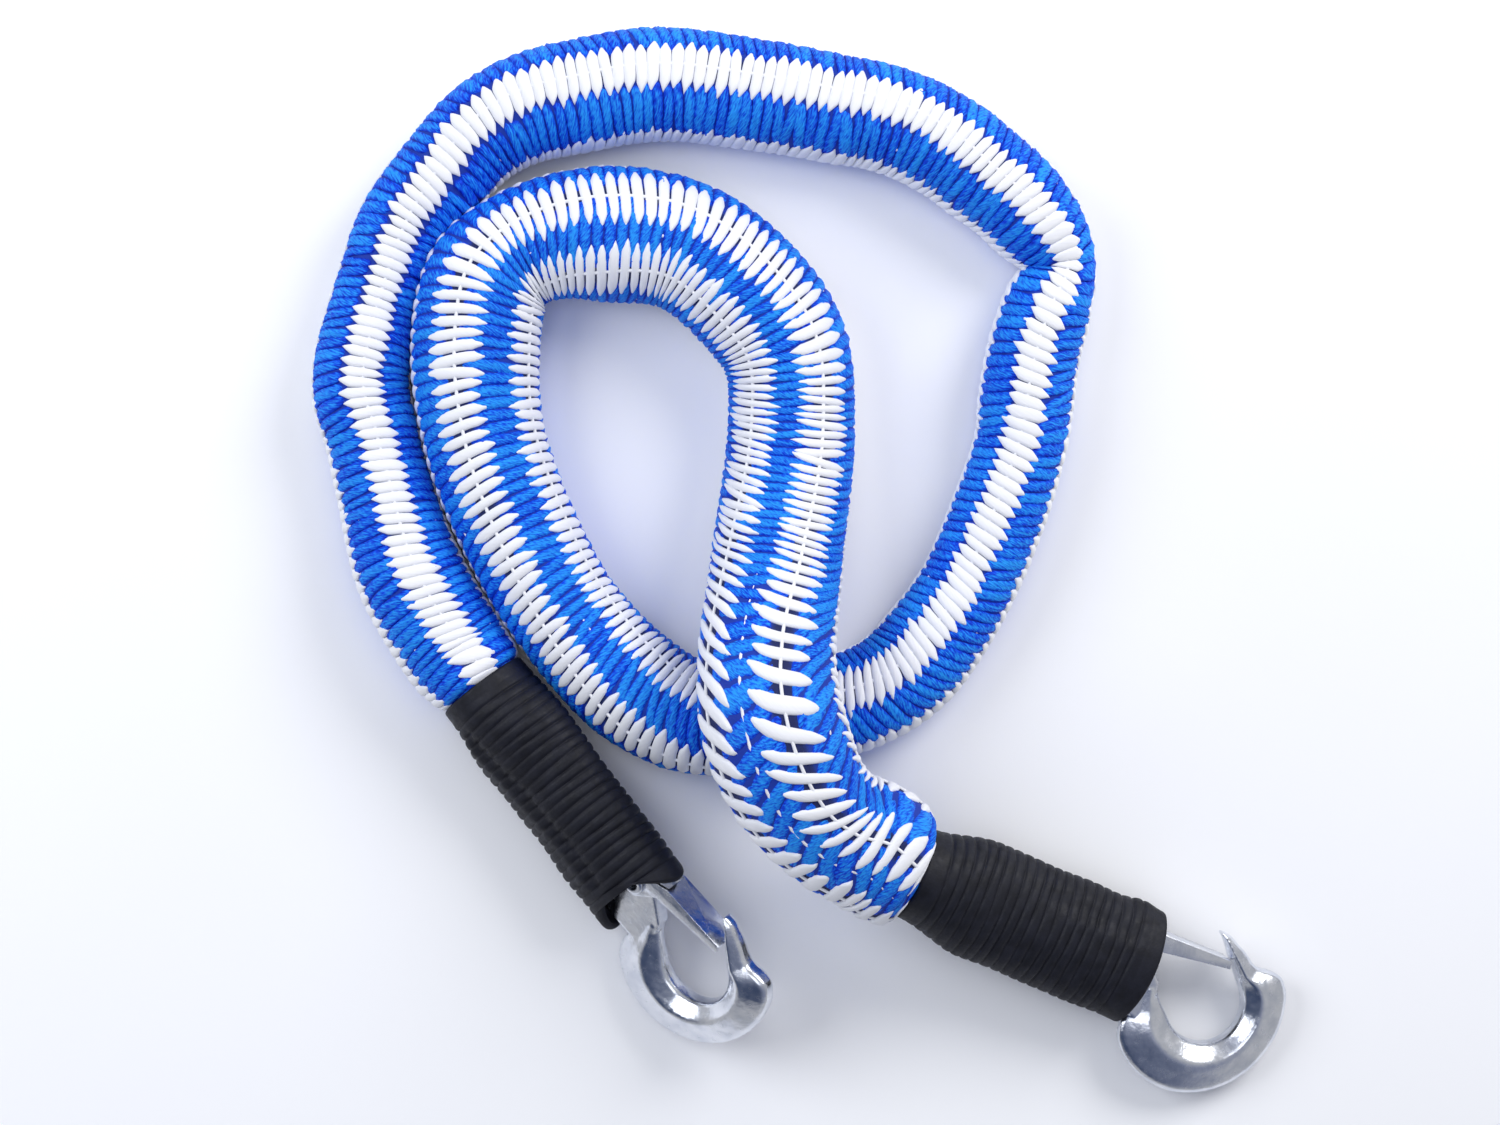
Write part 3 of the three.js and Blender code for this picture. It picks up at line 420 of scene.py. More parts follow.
def braid_piece(name, columns, first, last, style):
    """Yarns of some columns over a stretch of rope: flattened bundles whose tips lie between their neighbours'."""
    # Arrays by yarn, place from tip to tip and place round its section
    s0, pitch, stretch, column = stretch_rows(columns, first, last)[:, :, None, None]
    count = len(s0)
    grid = (count, ACROSS, len(RING_TURNS))
    gape = at(s0, rope_open)

    def between(key):
        closed, gaping = style[key]
        return closed + (gaping - closed) * gape

    turn_vary, slant_vary, reach_vary, height_vary, fill_vary = rng.normal(0, 1, (count, 5)).T[:, :, None, None]
    angle0 = at(s0, rope_roll) + column * COLUMN_TURN + TURN_VARY * turn_vary
    radius0 = at(s0, rope_radius)
    slant = at(s0, style["slant"]) + np.radians(style["slant_vary"]) * slant_vary
    widened = 1 + at(s0, rope_spread) * np.cos(angle0)
    arc = HALF_ARC * style["reach"] * (1 + REACH_VARY * reach_vary) / widened
    fill = 0.5 * pitch * between("fill") * (1 + style["vary"] * fill_vary)
    height = style["height"] * (1 + HEIGHT_VARY * height_vary) * np.clip(radius0 / USUAL_RADIUS, *HEIGHT_RANGE)

    # Outline of a yarn from tip to tip, and its section
    t = np.linspace(-1, 1, ACROSS)[:, None]
    leaf = np.clip((1 - np.abs(t)) / (1 - between("plateau")), 0, 1) ** between("taper")
    leaf = np.maximum(leaf, TIP_WIDTH)
    dip = style["dip"] * np.abs(t) ** 3
    dip[[0, -1]] += TIP_TUCK
    bow = style["bow"] * np.sin(math.pi * t)
    across = np.cos(RING_TURNS)
    up = np.maximum(np.sin(RING_TURNS), 0) ** style["crest"]
    up[-1] = UNDERSIDE

    # Its points, by length along the rope, angle and radius
    turned = spread(s0, angle0 + t * arc)
    lead = np.tan(slant) * radius0 * arc / stretch * t
    lead = lead + (at(s0, rope_climb) + ROW_LEAD) * radius0 * (np.cos(turned) - np.cos(spread(s0, angle0)))
    s = np.clip(s0 + lead + bow * pitch + fill * leaf * across, 0, ROPE_LENGTH)
    lift = (up - dip) * height + rng.normal(0, style["rough"], grid)
    radius = at(s, rope_radius) + YARN_PROUD - (between("under") + height) + lift
    starts = np.arange(count)[:, None, None] * grid[1] * grid[2]
    piece = fast_mesh(name, on_rope(s, turned, radius), starts + ring_quads(*grid[1:]))

    # Place on each yarn in mm, for its fibres, a tone of its own and how near its crest each point lies, which sets a
    # painted highlight on the crest and painted shade on the flanks and tips
    along = np.broadcast_to(t * (arc * radius0) / MM, grid)
    girth = across * (fill / MM) + PLY_SKEW * along
    offset = rng.random((count, 1, 1)) * FIBRE_SHIFT
    set_yarn_uv(piece, np.stack([along + offset, girth + offset], axis=-1))
    set_tone(piece, "tone", np.broadcast_to(rng.random((count, 1, 1)), grid))
    set_tone(piece, "crest", np.broadcast_to(np.maximum(up, 0) * (1 - TIP_SHADE_FADE * t ** 4), grid))
    return piece


def rings_round(path, a, b, radius, sides):
    """Rings of points round a path, by two directions square to it."""
    turn = full_turn(sides)[None, :, None]
    return path[:, None, :] + radius * (np.cos(turn) * a[:, None, :] + np.sin(turn) * b[:, None, :])


FLIPPED = [0, 3, 2, 1]  # a quad's corners in order from its other side
THREAD_END = 0.002  # how far threads and strands stop short of the rope's ends


def rope_tube(name, sides, steps):
    """The tube under the yarns, whose sides follow the columns."""
    s, turn = np.meshgrid(np.linspace(0, ROPE_LENGTH, steps), full_turn(sides), indexing="ij")
    points = on_rope(s, spread(s, turn + at(s, rope_roll)), at(s, rope_radius) + YARN_PROUD - BASE_DEPTH)
    return fast_mesh(name, points, ring_quads(steps, sides)[:, FLIPPED])


def thread_run(steps):
    return np.linspace(THREAD_END, ROPE_LENGTH - THREAD_END, steps)


def thread_piece(name, radius, sides, s, angle, offset):
    """A thread beside the rope's middle line, by length along it, angle from its top and distance from it."""
    out = out_of_rope(s, angle)
    path = on_rope(s, angle, offset)
    points = above_floor(rings_round(path, out, np.cross(at(s, tangent), out), radius, sides))
    return fast_mesh(name, points, ring_quads(len(s), sides)[:, FLIPPED])


# Materials
def feed(tree, node, **inputs):
    """Sets a node's inputs to values, or links them to other nodes' outputs."""
    for name, value in inputs.items():
        socket = node.inputs[name.replace("_", " ")]
        if isinstance(value, bpy.types.NodeSocket):
            tree.links.new(value, socket)
        else:
            socket.default_value = value
    return node


def add(tree, kind, **inputs):
    return feed(tree, tree.nodes.new("ShaderNode" + kind), **inputs)


def ramp(tree, value, stops):
    node = add(tree, "ValToRGB", Fac=value)
    elements = node.color_ramp.elements
    while len(elements) < len(stops):
        elements.new(0.5)
    for element, (position, colour) in zip(elements, stops):
        element.position = position
        element.color = (*colour, 1)
    return node.outputs["Color"]


def noise(tree, vector, scale, detail=3.0):
    return add(tree, "TexNoise", Vector=vector, Scale=scale, Detail=detail).outputs["Fac"]


def bump(tree, height, strength, distance):
    return add(tree, "Bump", Height=height, Strength=strength, Distance=distance).outputs["Normal"]


def attribute(tree, name):
    return assign(add(tree, "Attribute"), attribute_name=name).outputs["Fac"]


def mixed(tree, a, b, share):
    """A value that is b by some share, and a by the rest."""
    return add(tree, "Mix", Factor=share, A=a, B=b).outputs["Result"]


def object_place(tree):
    return add(tree, "TexCoord").outputs["Object"]


def material(name):
    m = assign(bpy.data.materials.new(name), use_nodes=True)
    return m, m.node_tree


def coat(tree, **inputs):
    feed(tree, tree.nodes["Principled BSDF"], **inputs)


FIBRE_BUMP = 0.0006


def yarn_material(name, stops, stretch, tone_share, crest_shade_share, specular, bump_strength):
    """Yarn: fibres drawn along each bundle, a tone that differs from one bundle to the next, and painted shade on the
    flanks with a painted highlight along the crest.
    """
    m, tree = material(name)
    uv = assign(add(tree, "UVMap"), uv_map="yarn")
    fibre = noise(tree, add(tree, "Mapping", Vector=uv.outputs["UV"], Scale=stretch).outputs["Vector"], 1.0, 5.0)
    toned = mixed(tree, fibre, attribute(tree, "tone"), tone_share)
    # The crest value mixes a painted highlight into the crest and painted shade into the flanks
    shaded = mixed(tree, toned, attribute(tree, "crest"), crest_shade_share)
    coat(tree, Base_Color=ramp(tree, shaded, stops), Roughness=0.6, Specular_IOR_Level=specular,
         Normal=bump(tree, fibre, bump_strength, FIBRE_BUMP))
    return m


# Each ramp runs from painted shade to a painted highlight as the crest value rises; fibre noise and each yarn's own
# tone vary it too
white_yarn = yarn_material(
    "white_yarn", [(0.15, (0.62, 0.66, 0.82)), (0.45, (0.84, 0.855, 0.91)), (0.75, (0.89, 0.895, 0.92))],
    stretch=(0.12, 1.6, 1), tone_share=0.3, crest_shade_share=0.4, specular=0.3, bump_strength=0.25)
blue_yarn = yarn_material(
    "blue_yarn", [(0.41, (0.0, 0.007, 0.37)), (0.55, (0.002, 0.065, 0.75)), (0.70, (0.022, 0.34, 0.97))],
    stretch=(0.5, 1.9, 1), tone_share=0.12, crest_shade_share=0.3, specular=0.16, bump_strength=1.0)

WEAVE_SCALE, WEAVE_BUMP = 900, 0.0005
COLUMN_SHARE = 0.7


def inside_shade_material():
    """Inside of the braid, coloured as painted shade for the gaps between the yarns: dark under the white columns and
    deep blue under the blue ones.
    """
    m, tree = material("braid_inside_shade")
    weave = noise(tree, object_place(tree), WEAVE_SCALE, 4.0)
    shade = mixed(tree, weave, attribute(tree, "tone"), COLUMN_SHARE)
    stops = [(0.25, (0.004, 0.012, 0.09)), (0.55, (0.004, 0.03, 0.26)), (0.8, (0.0, 0.03, 0.36))]
    coat(tree, Base_Color=ramp(tree, shade, stops), Roughness=0.8, Normal=bump(tree, weave, 0.4, WEAVE_BUMP))
    return m


inside_shade = inside_shade_material()

# The rope: an inner tube coloured as painted shade for the gaps between the yarns, the braid's white and blue columns
# in stretches, and a thread along each column
STRETCHES = 3
THREAD_RADIUS = 0.00062
THREAD_SIDES, THREAD_STEPS = 6, 700
THREAD_DEPTH = (0.0009, 0.0024)  # of the threads under the white and under the blue yarns' tops
THREAD_RISE = 0.00102  # how far a thread under blue yarns comes up here and there, and where the braid gapes
SHOWN_THREAD = 7  # the blue column whose thread shows where the braid gapes
# A thread comes up where two waves along the rope meet: their radians to a metre, start by column, size and level
PEEK_WAVES = ((83, 2), (211, 5))
PEEK_SIZE, PEEK_LEVEL = 6, 4.6
TUBE_STEPS, TUBE_SIDES = 900, 64
stretch_ends = np.linspace(0, ROPE_LENGTH, STRETCHES + 1)
rope_tube_piece = rope_tube("rope_inside", TUBE_SIDES, TUBE_STEPS)
# Painted shade of the inner tube: 0, dark, in the middle of the white columns, and 1, deep blue, under the blue ones
column_tone = np.clip(1.7 - 2 * np.cos(COLUMNS / 2 * full_turn(TUBE_SIDES)), 0, 1)
set_tone(rope_tube_piece, "tone", np.tile(column_tone, TUBE_STEPS))
white_braid, blue_braid, threads = [], [], []


def peek(s, k):
    """Share of its rise by which a thread under blue yarns comes up."""
    (slow, slow_start), (fast, fast_start) = PEEK_WAVES
    meeting = PEEK_SIZE * np.sin(slow * s + slow_start * k) * np.sin(fast * s + fast_start * k)
    return np.maximum(np.clip(meeting - PEEK_LEVEL, 0, 1), at(s, rope_open) * (k == SHOWN_THREAD))


def thread_offset(s, k):
    """Distance of a column's thread from the middle line."""
    return at(s, rope_radius) + YARN_PROUD - THREAD_DEPTH[k % 2] + THREAD_RISE * (k % 2) * peek(s, k)


for k, (first, last) in enumerate(zip(stretch_ends[:-1], stretch_ends[1:])):
    white_braid.append(braid_piece("white_braid_%d" % (k + 1), range(0, COLUMNS, 2), first, last, WHITE_STYLE))
    blue_braid.append(braid_piece("blue_braid_%d" % (k + 1), range(1, COLUMNS, 2), first, last, BLUE_STYLE))
s = thread_run(THREAD_STEPS)
for k in range(COLUMNS):
    angle = spread(s, at(s, rope_roll) + k * COLUMN_TURN)
    thread = thread_piece("centre_thread_%d" % (k + 1), THREAD_RADIUS, THREAD_SIDES, s, angle, thread_offset(s, k))
    # Threads take a crest value of 1, the full painted highlight of a yarn's crest
    set_tone(thread, "crest", np.ones(len(thread.data.vertices)))
    threads.append(thread)
braid_pieces = white_braid + blue_braid
rope_tube_piece.data.materials.append(inside_shade)
for piece in white_braid + threads:
    piece.data.materials.append(white_yarn)
for piece in blue_braid:
    piece.data.materials.append(blue_yarn)
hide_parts("rope_sheath")
for piece in [rope_tube_piece, *braid_pieces, *threads]:
    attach(piece, BODY)

# Rope-end hardware, in mm of each end's own frame: x out of the sleeve's mouth, y towards the hook's tip
GAP = 0.3
FACET_LOSS = math.cos(math.pi / 16)  # a 16-sided ring's flats, as a share of its radius
INSERT = ROPE_INSERT / MM
EYE_RADIUS = 12.0
EYE_TUBE = 3.0
EYE_OUTER = EYE_RADIUS + EYE_TUBE
TAIL_THICKNESS = 4.6
TAIL_WIDTH = 18.0
TAIL_WIDTH_IN_EYE = 8.8
TAIL_TAPER = 16.0
TAIL_OFFSET = EYE_TUBE + GAP + TAIL_THICKNESS / 2
WHIP_DIAMETER = 1.8
WHIP_MARGIN = 4.5
WINDING_PLAY = 0.7
WHIP_AROUND = WINDING_PLAY + WHIP_DIAMETER / 2
SLEEVE_WALL = 1.3
RIB_PITCH = 3.7
RIB_DEPTH = 0.6
ROPE_BAND = 8.0
MOUTH_BAND = 9.0
EYE_SWELL = 26.0
SLEEVE_BORE_Z = (TAIL_OFFSET + TAIL_THICKNESS / 2 + WINDING_PLAY + WHIP_DIAMETER + GAP) / FACET_LOSS
MOUTH_FLARE = 2.9
SLEEVE_BORE_Y = (EYE_OUTER + GAP) / FACET_LOSS + MOUTH_FLARE


def smoothstep(x, low, high):
    t = np.clip((x - low) / (high - low), 0, 1)
    return t * t * (3 - 2 * t)


def in_frame(points, matrix):
    """Points in mm of a local frame, as metres of the row frame."""
    flat = np.asarray(points, dtype=float).reshape(-1, 3) * MM
    m = np.array(matrix)
    return flat @ m[:3, :3].T + m[:3, 3]


def degrees_from(turn, middle):
    """Signed angle between turns in radians and a direction in degrees, in degrees."""
    return (np.degrees(turn) - middle + 180) % 360 - 180


SLEEVE_STEP = 0.3
SLEEVE_SIDES = 96
INNER_STEPS = 60
LIP_STEPS = 6
LIP_RUN, LIP_CLOSE = 5.0, 1.6
RIB_CUT = 1.35  # depth of the valleys between ribs, as a share of RIB_DEPTH
RIB_ROUND = 3.5
RIB_UNEVEN = 0.35
ROPE_FADE, MOUTH_FADE = 0.4, 0.5  # shares of the two smooth bands where the ribs begin
# Waves round and along a sleeve: size, times round, radians to a mm along and start
RIB_SWAY = [(0.10, 1, 0.0, 0.7), (0.06, 2, 0.31, 0.0)]
SKIN_WAVES = [(0.16, 2, 0.17, 0.0), (0.10, 5, -0.29, 0.0)]
FOLD_SWAY, FOLD_WAVE = 6, 17  # degrees that a fold wanders, and mm to a radian of its wave
FOLD_FADE = 8


def waves(listed, x, turn):
    return sum(size * np.sin(times * turn + slope * x + start) for size, times, slope, start in listed)


def sleeve_rings(length, skin):
    """A sleeve's rings, out along its outside and back inside: places along it, and 1 outside to 0 inside."""
    half = skin / 2
    outer = np.arange(-length + half, -half, SLEEVE_STEP)
    inner = np.linspace(-half, -length + half, INNER_STEPS)
    lip = np.linspace(0, math.pi, LIP_STEPS + 2)[1:-1]
    x = np.concatenate([outer, -half + half * np.sin(lip), inner, -length + half - half * np.sin(lip)])
    share = np.concatenate([np.ones(len(outer)), (1 + np.cos(lip)) / 2, np.zeros(len(inner)), (1 - np.cos(lip)) / 2])
    return x, share


def sleeve_relief(end, x, turn):
    """Height of a sleeve's skin above its even form: ribs between two smooth bands, slow waves, folds and lumps."""
    length = end["length"] / MM
    phase = (x + length - ROPE_BAND) / RIB_PITCH + waves(RIB_SWAY, x, turn)
    rib = np.floor(phase)
    valley = np.abs(2 * (phase % 1) - 1) ** RIB_ROUND
    ribbed = smoothstep(x, -length + ROPE_FADE * ROPE_BAND, -length + ROPE_BAND)
    ribbed = ribbed * smoothstep(-x, MOUTH_FADE * MOUTH_BAND, MOUTH_BAND)
    uneven = 1 + RIB_UNEVEN * np.sin(1.7 * rib + 2 * turn) * np.sin(0.6 * rib - turn)
    relief = -RIB_CUT * RIB_DEPTH * valley * ribbed * uneven + waves(SKIN_WAVES, x, turn)
    for middle, width, height, start, stop in end["folds"]:
        away = degrees_from(turn, middle + FOLD_SWAY * np.sin(x / FOLD_WAVE))
        run_in = smoothstep(x, start, start + FOLD_FADE) * smoothstep(-x, -stop, -stop + FOLD_FADE)
        relief = relief + height * np.exp(-(away / width) ** 2) * run_in
    for middle, width, height, where, reach in end["lumps"]:
        away = degrees_from(turn, middle)
        relief = relief + height * np.exp(-(away / width) ** 2) * np.exp(-((x - where) / reach) ** 2)
    return relief


def sleeve_piece(end):
    """Shrink sleeve: ribs over the whipping's turns, folds in the skin and a rounded lip at each end."""
    length = end["length"] / MM
    neck = (end["neck"] / MM / 2 + GAP) / FACET_LOSS
    skin = SLEEVE_WALL + RIB_DEPTH
    x, share = sleeve_rings(length, skin)
    x, turn = np.meshgrid(x, full_turn(SLEEVE_SIDES), indexing="ij")
    share = np.broadcast_to(share[:, None], x.shape)
    half_y = neck + (SLEEVE_BORE_Y - neck) * smoothstep(x, -length, EYE_SWELL - length)
    half_z = neck + (SLEEVE_BORE_Z - neck) * smoothstep(x, INSERT - length, INSERT + EYE_SWELL - length)
    # Inside, the lip closes in towards the hook
    closing = LIP_CLOSE * (1 - share) * smoothstep(x, -LIP_RUN, 0)
    out = share * (skin + sleeve_relief(end, x, turn)) - closing
    arch = -end["arch"] / MM * np.sin(turn) ** 2 * smoothstep(x, -MOUTH_BAND, 0)
    points = np.stack([x + arch, (half_y + out) * np.cos(turn), (half_z + out) * np.sin(turn)], axis=-1)
    return fast_mesh(end["side"] + "_sleeve_skin", in_frame(points, end_matrix(end)),
                     ring_quads(x.shape[0], SLEEVE_SIDES, wrap=True)[:, ::-1])


CORD_STRANDS, STRAND_RELIEF = 3, 0.07
WIRE_END = 0.6  # a wire's end rings, as a share of its radius


def wire_piece(name, path, radius, sides, matrix, up, lay=None):
    """A round wire or a laid cord along a path in mm. up is a direction that the path never runs along."""
    along = unit(np.gradient(path, axis=0))
    b = unit(np.asarray(up) - along * (along @ np.asarray(up))[:, None])
    a = np.cross(b, along)
    r = np.full((len(path), sides), radius)
    if lay:
        twist = full_turn(sides) - math.tau * length_along(path)[:, None] / lay
        r = r * (1 - STRAND_RELIEF + STRAND_RELIEF * np.cos(CORD_STRANDS * twist))
    r[[0, -1]] *= WIRE_END
    points = in_frame(rings_round(path, a, b, r[:, :, None], sides), matrix)
    piece = fast_mesh(name, points, ring_quads(len(path), sides)[:, ::-1])
    with edited(piece) as edit:
        bmesh.ops.holes_fill(edit, edges=[e for e in edit.edges if e.is_boundary])
        bmesh.ops.recalc_face_normals(edit, faces=edit.faces)
    return piece


WHIP_STEPS, WHIP_SIDES = 48, 12
WHIP_START = 0.04  # of a turn
WHIP_LAY = 5.0
WHIP_SPLIT = 1.5  # how sharply the turns pass from one tail to the other


def whipping_piece(end):
    """Cord wound round both halves of the doubled tail."""
    first = INSERT - end["length"] / MM + WHIP_MARGIN
    last = -end["eye_depth"] / MM - EYE_OUTER - WHIP_MARGIN
    turns = math.floor((last - first) / RIB_PITCH)
    step = np.arange(turns * WHIP_STEPS + 1) / WHIP_STEPS
    turn = math.tau * (step + WHIP_START)
    y = (TAIL_WIDTH / 2 + WHIP_AROUND) * np.cos(turn)
    z = (TAIL_THICKNESS / 2 + WHIP_AROUND) * np.sin(turn)
    z = z + TAIL_OFFSET * np.clip(z * WHIP_SPLIT, -1, 1)
    path = np.stack([first + RIB_PITCH * step, y, z], axis=1)
    return wire_piece(end["side"] + "_whipping_cord", path, WHIP_DIAMETER / 2, WHIP_SIDES, end_matrix(end),
                      (1, 0, 0), lay=WHIP_LAY)


TAIL_STEPS, TAIL_SIDES, BEND_STEPS = 60, 32, 30
WEAVE_HEIGHT, WEAVE_PITCH = 0.16, 3.2
WEAVE_ROUND = 8  # weave waves round the tail
FIBRE_STRETCH = 1.2


def braid_loop_piece(end):
    """The braid's tail: flat, woven, through the eye and back."""
    back = INSERT + GAP - end["length"] / MM
    turn_at = -end["eye_depth"] / MM - EYE_RADIUS
    out = np.linspace(back, turn_at, TAIL_STEPS)
    bend = np.linspace(0, math.pi, BEND_STEPS + 2)[1:-1]
    x = np.concatenate([out, turn_at + TAIL_OFFSET * np.sin(bend), out[::-1]])
    angle = np.concatenate([np.zeros(TAIL_STEPS), bend, np.full(TAIL_STEPS, math.pi)])
    z = TAIL_OFFSET * np.cos(angle)
    taper = np.clip(np.abs(x - turn_at) / TAIL_TAPER, 0, 1)
    taper[TAIL_STEPS:-TAIL_STEPS] = 0
    width = TAIL_WIDTH_IN_EYE + (TAIL_WIDTH - TAIL_WIDTH_IN_EYE) * taper
    turn = full_turn(TAIL_SIDES)
    along = length_along(np.column_stack([x, z]))[:, None]
    weave = WEAVE_HEIGHT * np.cos(math.tau * along / WEAVE_PITCH) * np.cos(WEAVE_ROUND * turn)
    thick = (TAIL_THICKNESS / 2 - WEAVE_HEIGHT + weave) * np.sin(turn)
    across = (width[:, None] / 2) * np.cos(turn)
    points = np.stack([x[:, None] + thick * np.sin(angle)[:, None], across,
                       z[:, None] + thick * np.cos(angle)[:, None]], axis=-1)
    piece = fast_mesh(end["side"] + "_braid_tail", in_frame(points, end_matrix(end)), ring_quads(len(x), TAIL_SIDES))
    set_yarn_uv(piece, np.stack([across, np.broadcast_to(along * FIBRE_STRETCH, across.shape)], axis=-1))
    # Yarns two rows long and two columns wide, light and dark in turn as painted shade of the yarns passing over and
    # under
    weave_shade = np.cos(math.pi * along / WEAVE_PITCH) * np.cos(WEAVE_ROUND / 2 * turn)
    weave_shade = 0.5 + 0.5 * np.sign(weave_shade)
    set_tone(piece, "tone", weave_shade)
    # Painted highlight on the yarns that lie on top, painted shade on those that pass under
    set_tone(piece, "crest", 0.4 + 0.4 * weave_shade)
    return piece


# Hook, from the eye's centre: x along the shank, y towards the tip, z through its thickness
SHANK_THICKNESS = 5.8
BOWL_X, BOWL_Y = 47.0, -5.0
BOWL_INNER = 12.7
BOWL_OUTER = 30.0
BOWL_THICKNESS = 12.6
RIDGE_AT, RIDGE_WIDTH = 0.34, 0.1
INNER_EDGE, OUTER_EDGE = 0.42, 0.45
# Angle round the bowl, and shares of BOWL_INNER, BOWL_OUTER and BOWL_THICKNESS there
HOOK_SECTIONS = np.array([
    (180, 1.22, 0.767, 0.52), (192, 1.063, 0.8, 0.54), (205, 0.929, 0.833, 0.6), (212, 0.89, 0.9, 0.68),
    (218, 0.866, 0.947, 0.74), (224, 0.858, 0.98, 0.8), (232, 0.858, 0.997, 0.87), (250, 0.858, 1.01, 0.97),
    (275, 0.89, 1.007, 1), (302, 0.961, 0.977, 1), (326, 1.047, 0.96, 1), (351, 1.118, 0.967, 1),
    (373, 1.181, 1, 1), (392, 1.22, 1.04, 1), (403, 1.236, 1.027, 0.97), (409, 1.244, 0.94, 0.92),
    (416, 1.26, 0.82, 0.86), (424, 1.315, 0.8, 0.82), (433, 1.409, 0.827, 0.76), (443, 1.583, 0.857, 0.68),
    (450, 1.803, 0.907, 0.58), (458, 2.118, 0.923, 0.4),
])
SHANK_BACK = 16.0
BOSS_RADIUS = 6.0
PIVOT = np.array([14.3, 5.0])
PIN_RADIUS = 2.4
PIN_PLAY = 0.25
PIN_BORE = 1.3
PIN_HEAD_RADIUS = 3.9
PIN_HEAD = 1.3
SPRING_WIRE = 0.9
SPRING_TURNS = 2.25
SPRING_LEG = 3.0
SEAT_FLOOR = 0.4
LATCH_SHEET = 1.2
LATCH_SHOULDER = np.array([11.3, 6.9])
LATCH_TIP_TOP = 1.9
BEAK_SEAT = 443
FLANGE_INSIDE = SHANK_THICKNESS / 2 + SPRING_WIRE + 2 * GAP
LATCH_HALF = FLANGE_INSIDE + LATCH_SHEET
SPRING_RADIUS = PIN_RADIUS + GAP + SPRING_WIRE / 2
HOOK_EVEN = 9  # degrees over which the listed sections blend into each other
HOOK_VOXEL = 0.38
BOWL_STEP = 2
EDGE_ROUND, EDGE_PASSES = 0.16, 2  # share of a side cut off at each corner, and times
SOFTEN_SHARE, SOFTEN_PASSES = 0.5, 6
EYE_STEPS, EYE_SIDES = 96, 32
HOLE_SIDES = 64
SHANK_ROOT = 198  # angle round the bowl where the shank meets it
SHANK_LAP = 0.8  # how far the shank's outline reaches into the bowl
EYE_JOINS = (78, 72)  # degrees round the eye, where the shank's back and front leave it


def hook_section(angle):
    """Inner and outer radius and half thickness at angles round the bowl."""
    fine = np.arange(HOOK_SECTIONS[0, 0] - 20, HOOK_SECTIONS[-1, 0] + 21)
    kernel = np.hanning(HOOK_EVEN + 2)
    kernel /= kernel.sum()
    listed, *shares = HOOK_SECTIONS.T
    even = [np.convolve(np.interp(fine, listed, share), kernel, mode="same") for share in shares]
    inner, outer, thickness = (np.interp(angle, fine, share) for share in even)
    return BOWL_INNER * inner, BOWL_OUTER * outer, BOWL_THICKNESS / 2 * thickness


def around_bowl(angle, radius):
    turn = np.radians(angle)
    return np.array([BOWL_X + radius * np.cos(turn), BOWL_Y + radius * np.sin(turn)])


def round_corners(profile):
    """A closed outline with its corners cut off, more finely each time."""
    share = EDGE_ROUND
    for _ in range(EDGE_PASSES):
        after = np.roll(profile, -1, axis=0)
        cut = np.stack([profile + share * (after - profile), after - share * (after - profile)], axis=1)
        profile = cut.reshape(-1, profile.shape[-1])
        share = 0.5 * share / (1 - 2 * share)
    return profile


def closed_loft(rings):
    """Points and faces of a closed surface through rings, with a flat face at each end."""
    count, sides = rings.shape[:2]
    faces = [tuple(q) for q in ring_quads(count, sides)]
    faces.append(tuple(range(sides)))
    faces.append(tuple(range((count - 1) * sides, count * sides))[::-1])
    return rings.reshape(-1, 3), faces


def bowl_surface():
    angles = np.arange(HOOK_SECTIONS[0, 0], HOOK_SECTIONS[-1, 0] + 0.1, BOWL_STEP)
    rings = []
    for angle in angles:
        inner, outer, half = (float(v) for v in hook_section(angle))
        ridge = inner + RIDGE_AT * (outer - inner)
        ridge_end = ridge + RIDGE_WIDTH * (outer - inner)
        side = [(inner, INNER_EDGE * half), (ridge, half), (ridge_end, half), (outer, OUTER_EDGE * half)]
        profile = round_corners(np.array(side + [(r, -z) for r, z in reversed(side)]))
        rings.append(np.column_stack([around_bowl(angle, profile[:, 0]).T, profile[:, 1]]))
    return closed_loft(np.array(rings))


def arc_points(centre, radius, start, stop, steps):
    turn = np.radians(np.linspace(start, stop, steps))
    return [(centre[0] + radius * math.cos(t), centre[1] + radius * math.sin(t)) for t in turn]


def shank_surface():
    """The flat shank, from inside the eye to inside the bowl, with the boss that the pin goes through."""
    inner, outer, _ = hook_section(SHANK_ROOT)
    root = around_bowl(SHANK_ROOT, (inner + outer) / 2)
    throat = around_bowl(HOOK_SECTIONS[0, 0], hook_section(HOOK_SECTIONS[0, 0])[0])
    back_join, front_join = np.radians(EYE_JOINS)
    outline = arc_points((0, 0), EYE_RADIUS, 70, -80, 40)
    outline += [
        (EYE_OUTER * math.cos(back_join), -EYE_OUTER), (PIVOT[0], -SHANK_BACK), (root[0], -SHANK_BACK),
        (root[0] + SHANK_LAP, root[1]), (throat[0] - SHANK_LAP, throat[1]),
        (throat[0] - 2 * SHANK_LAP, throat[1] + BOSS_RADIUS / 2)]
    outline += arc_points(PIVOT, BOSS_RADIUS, 20, 100, 20)
    outline += [(EYE_OUTER * math.cos(front_join), EYE_OUTER * math.sin(front_join))]
    outline = np.array(outline)
    rings = np.stack([np.column_stack([outline, np.full(len(outline), z)])
                      for z in (-SHANK_THICKNESS / 2, SHANK_THICKNESS / 2)])
    return closed_loft(rings)


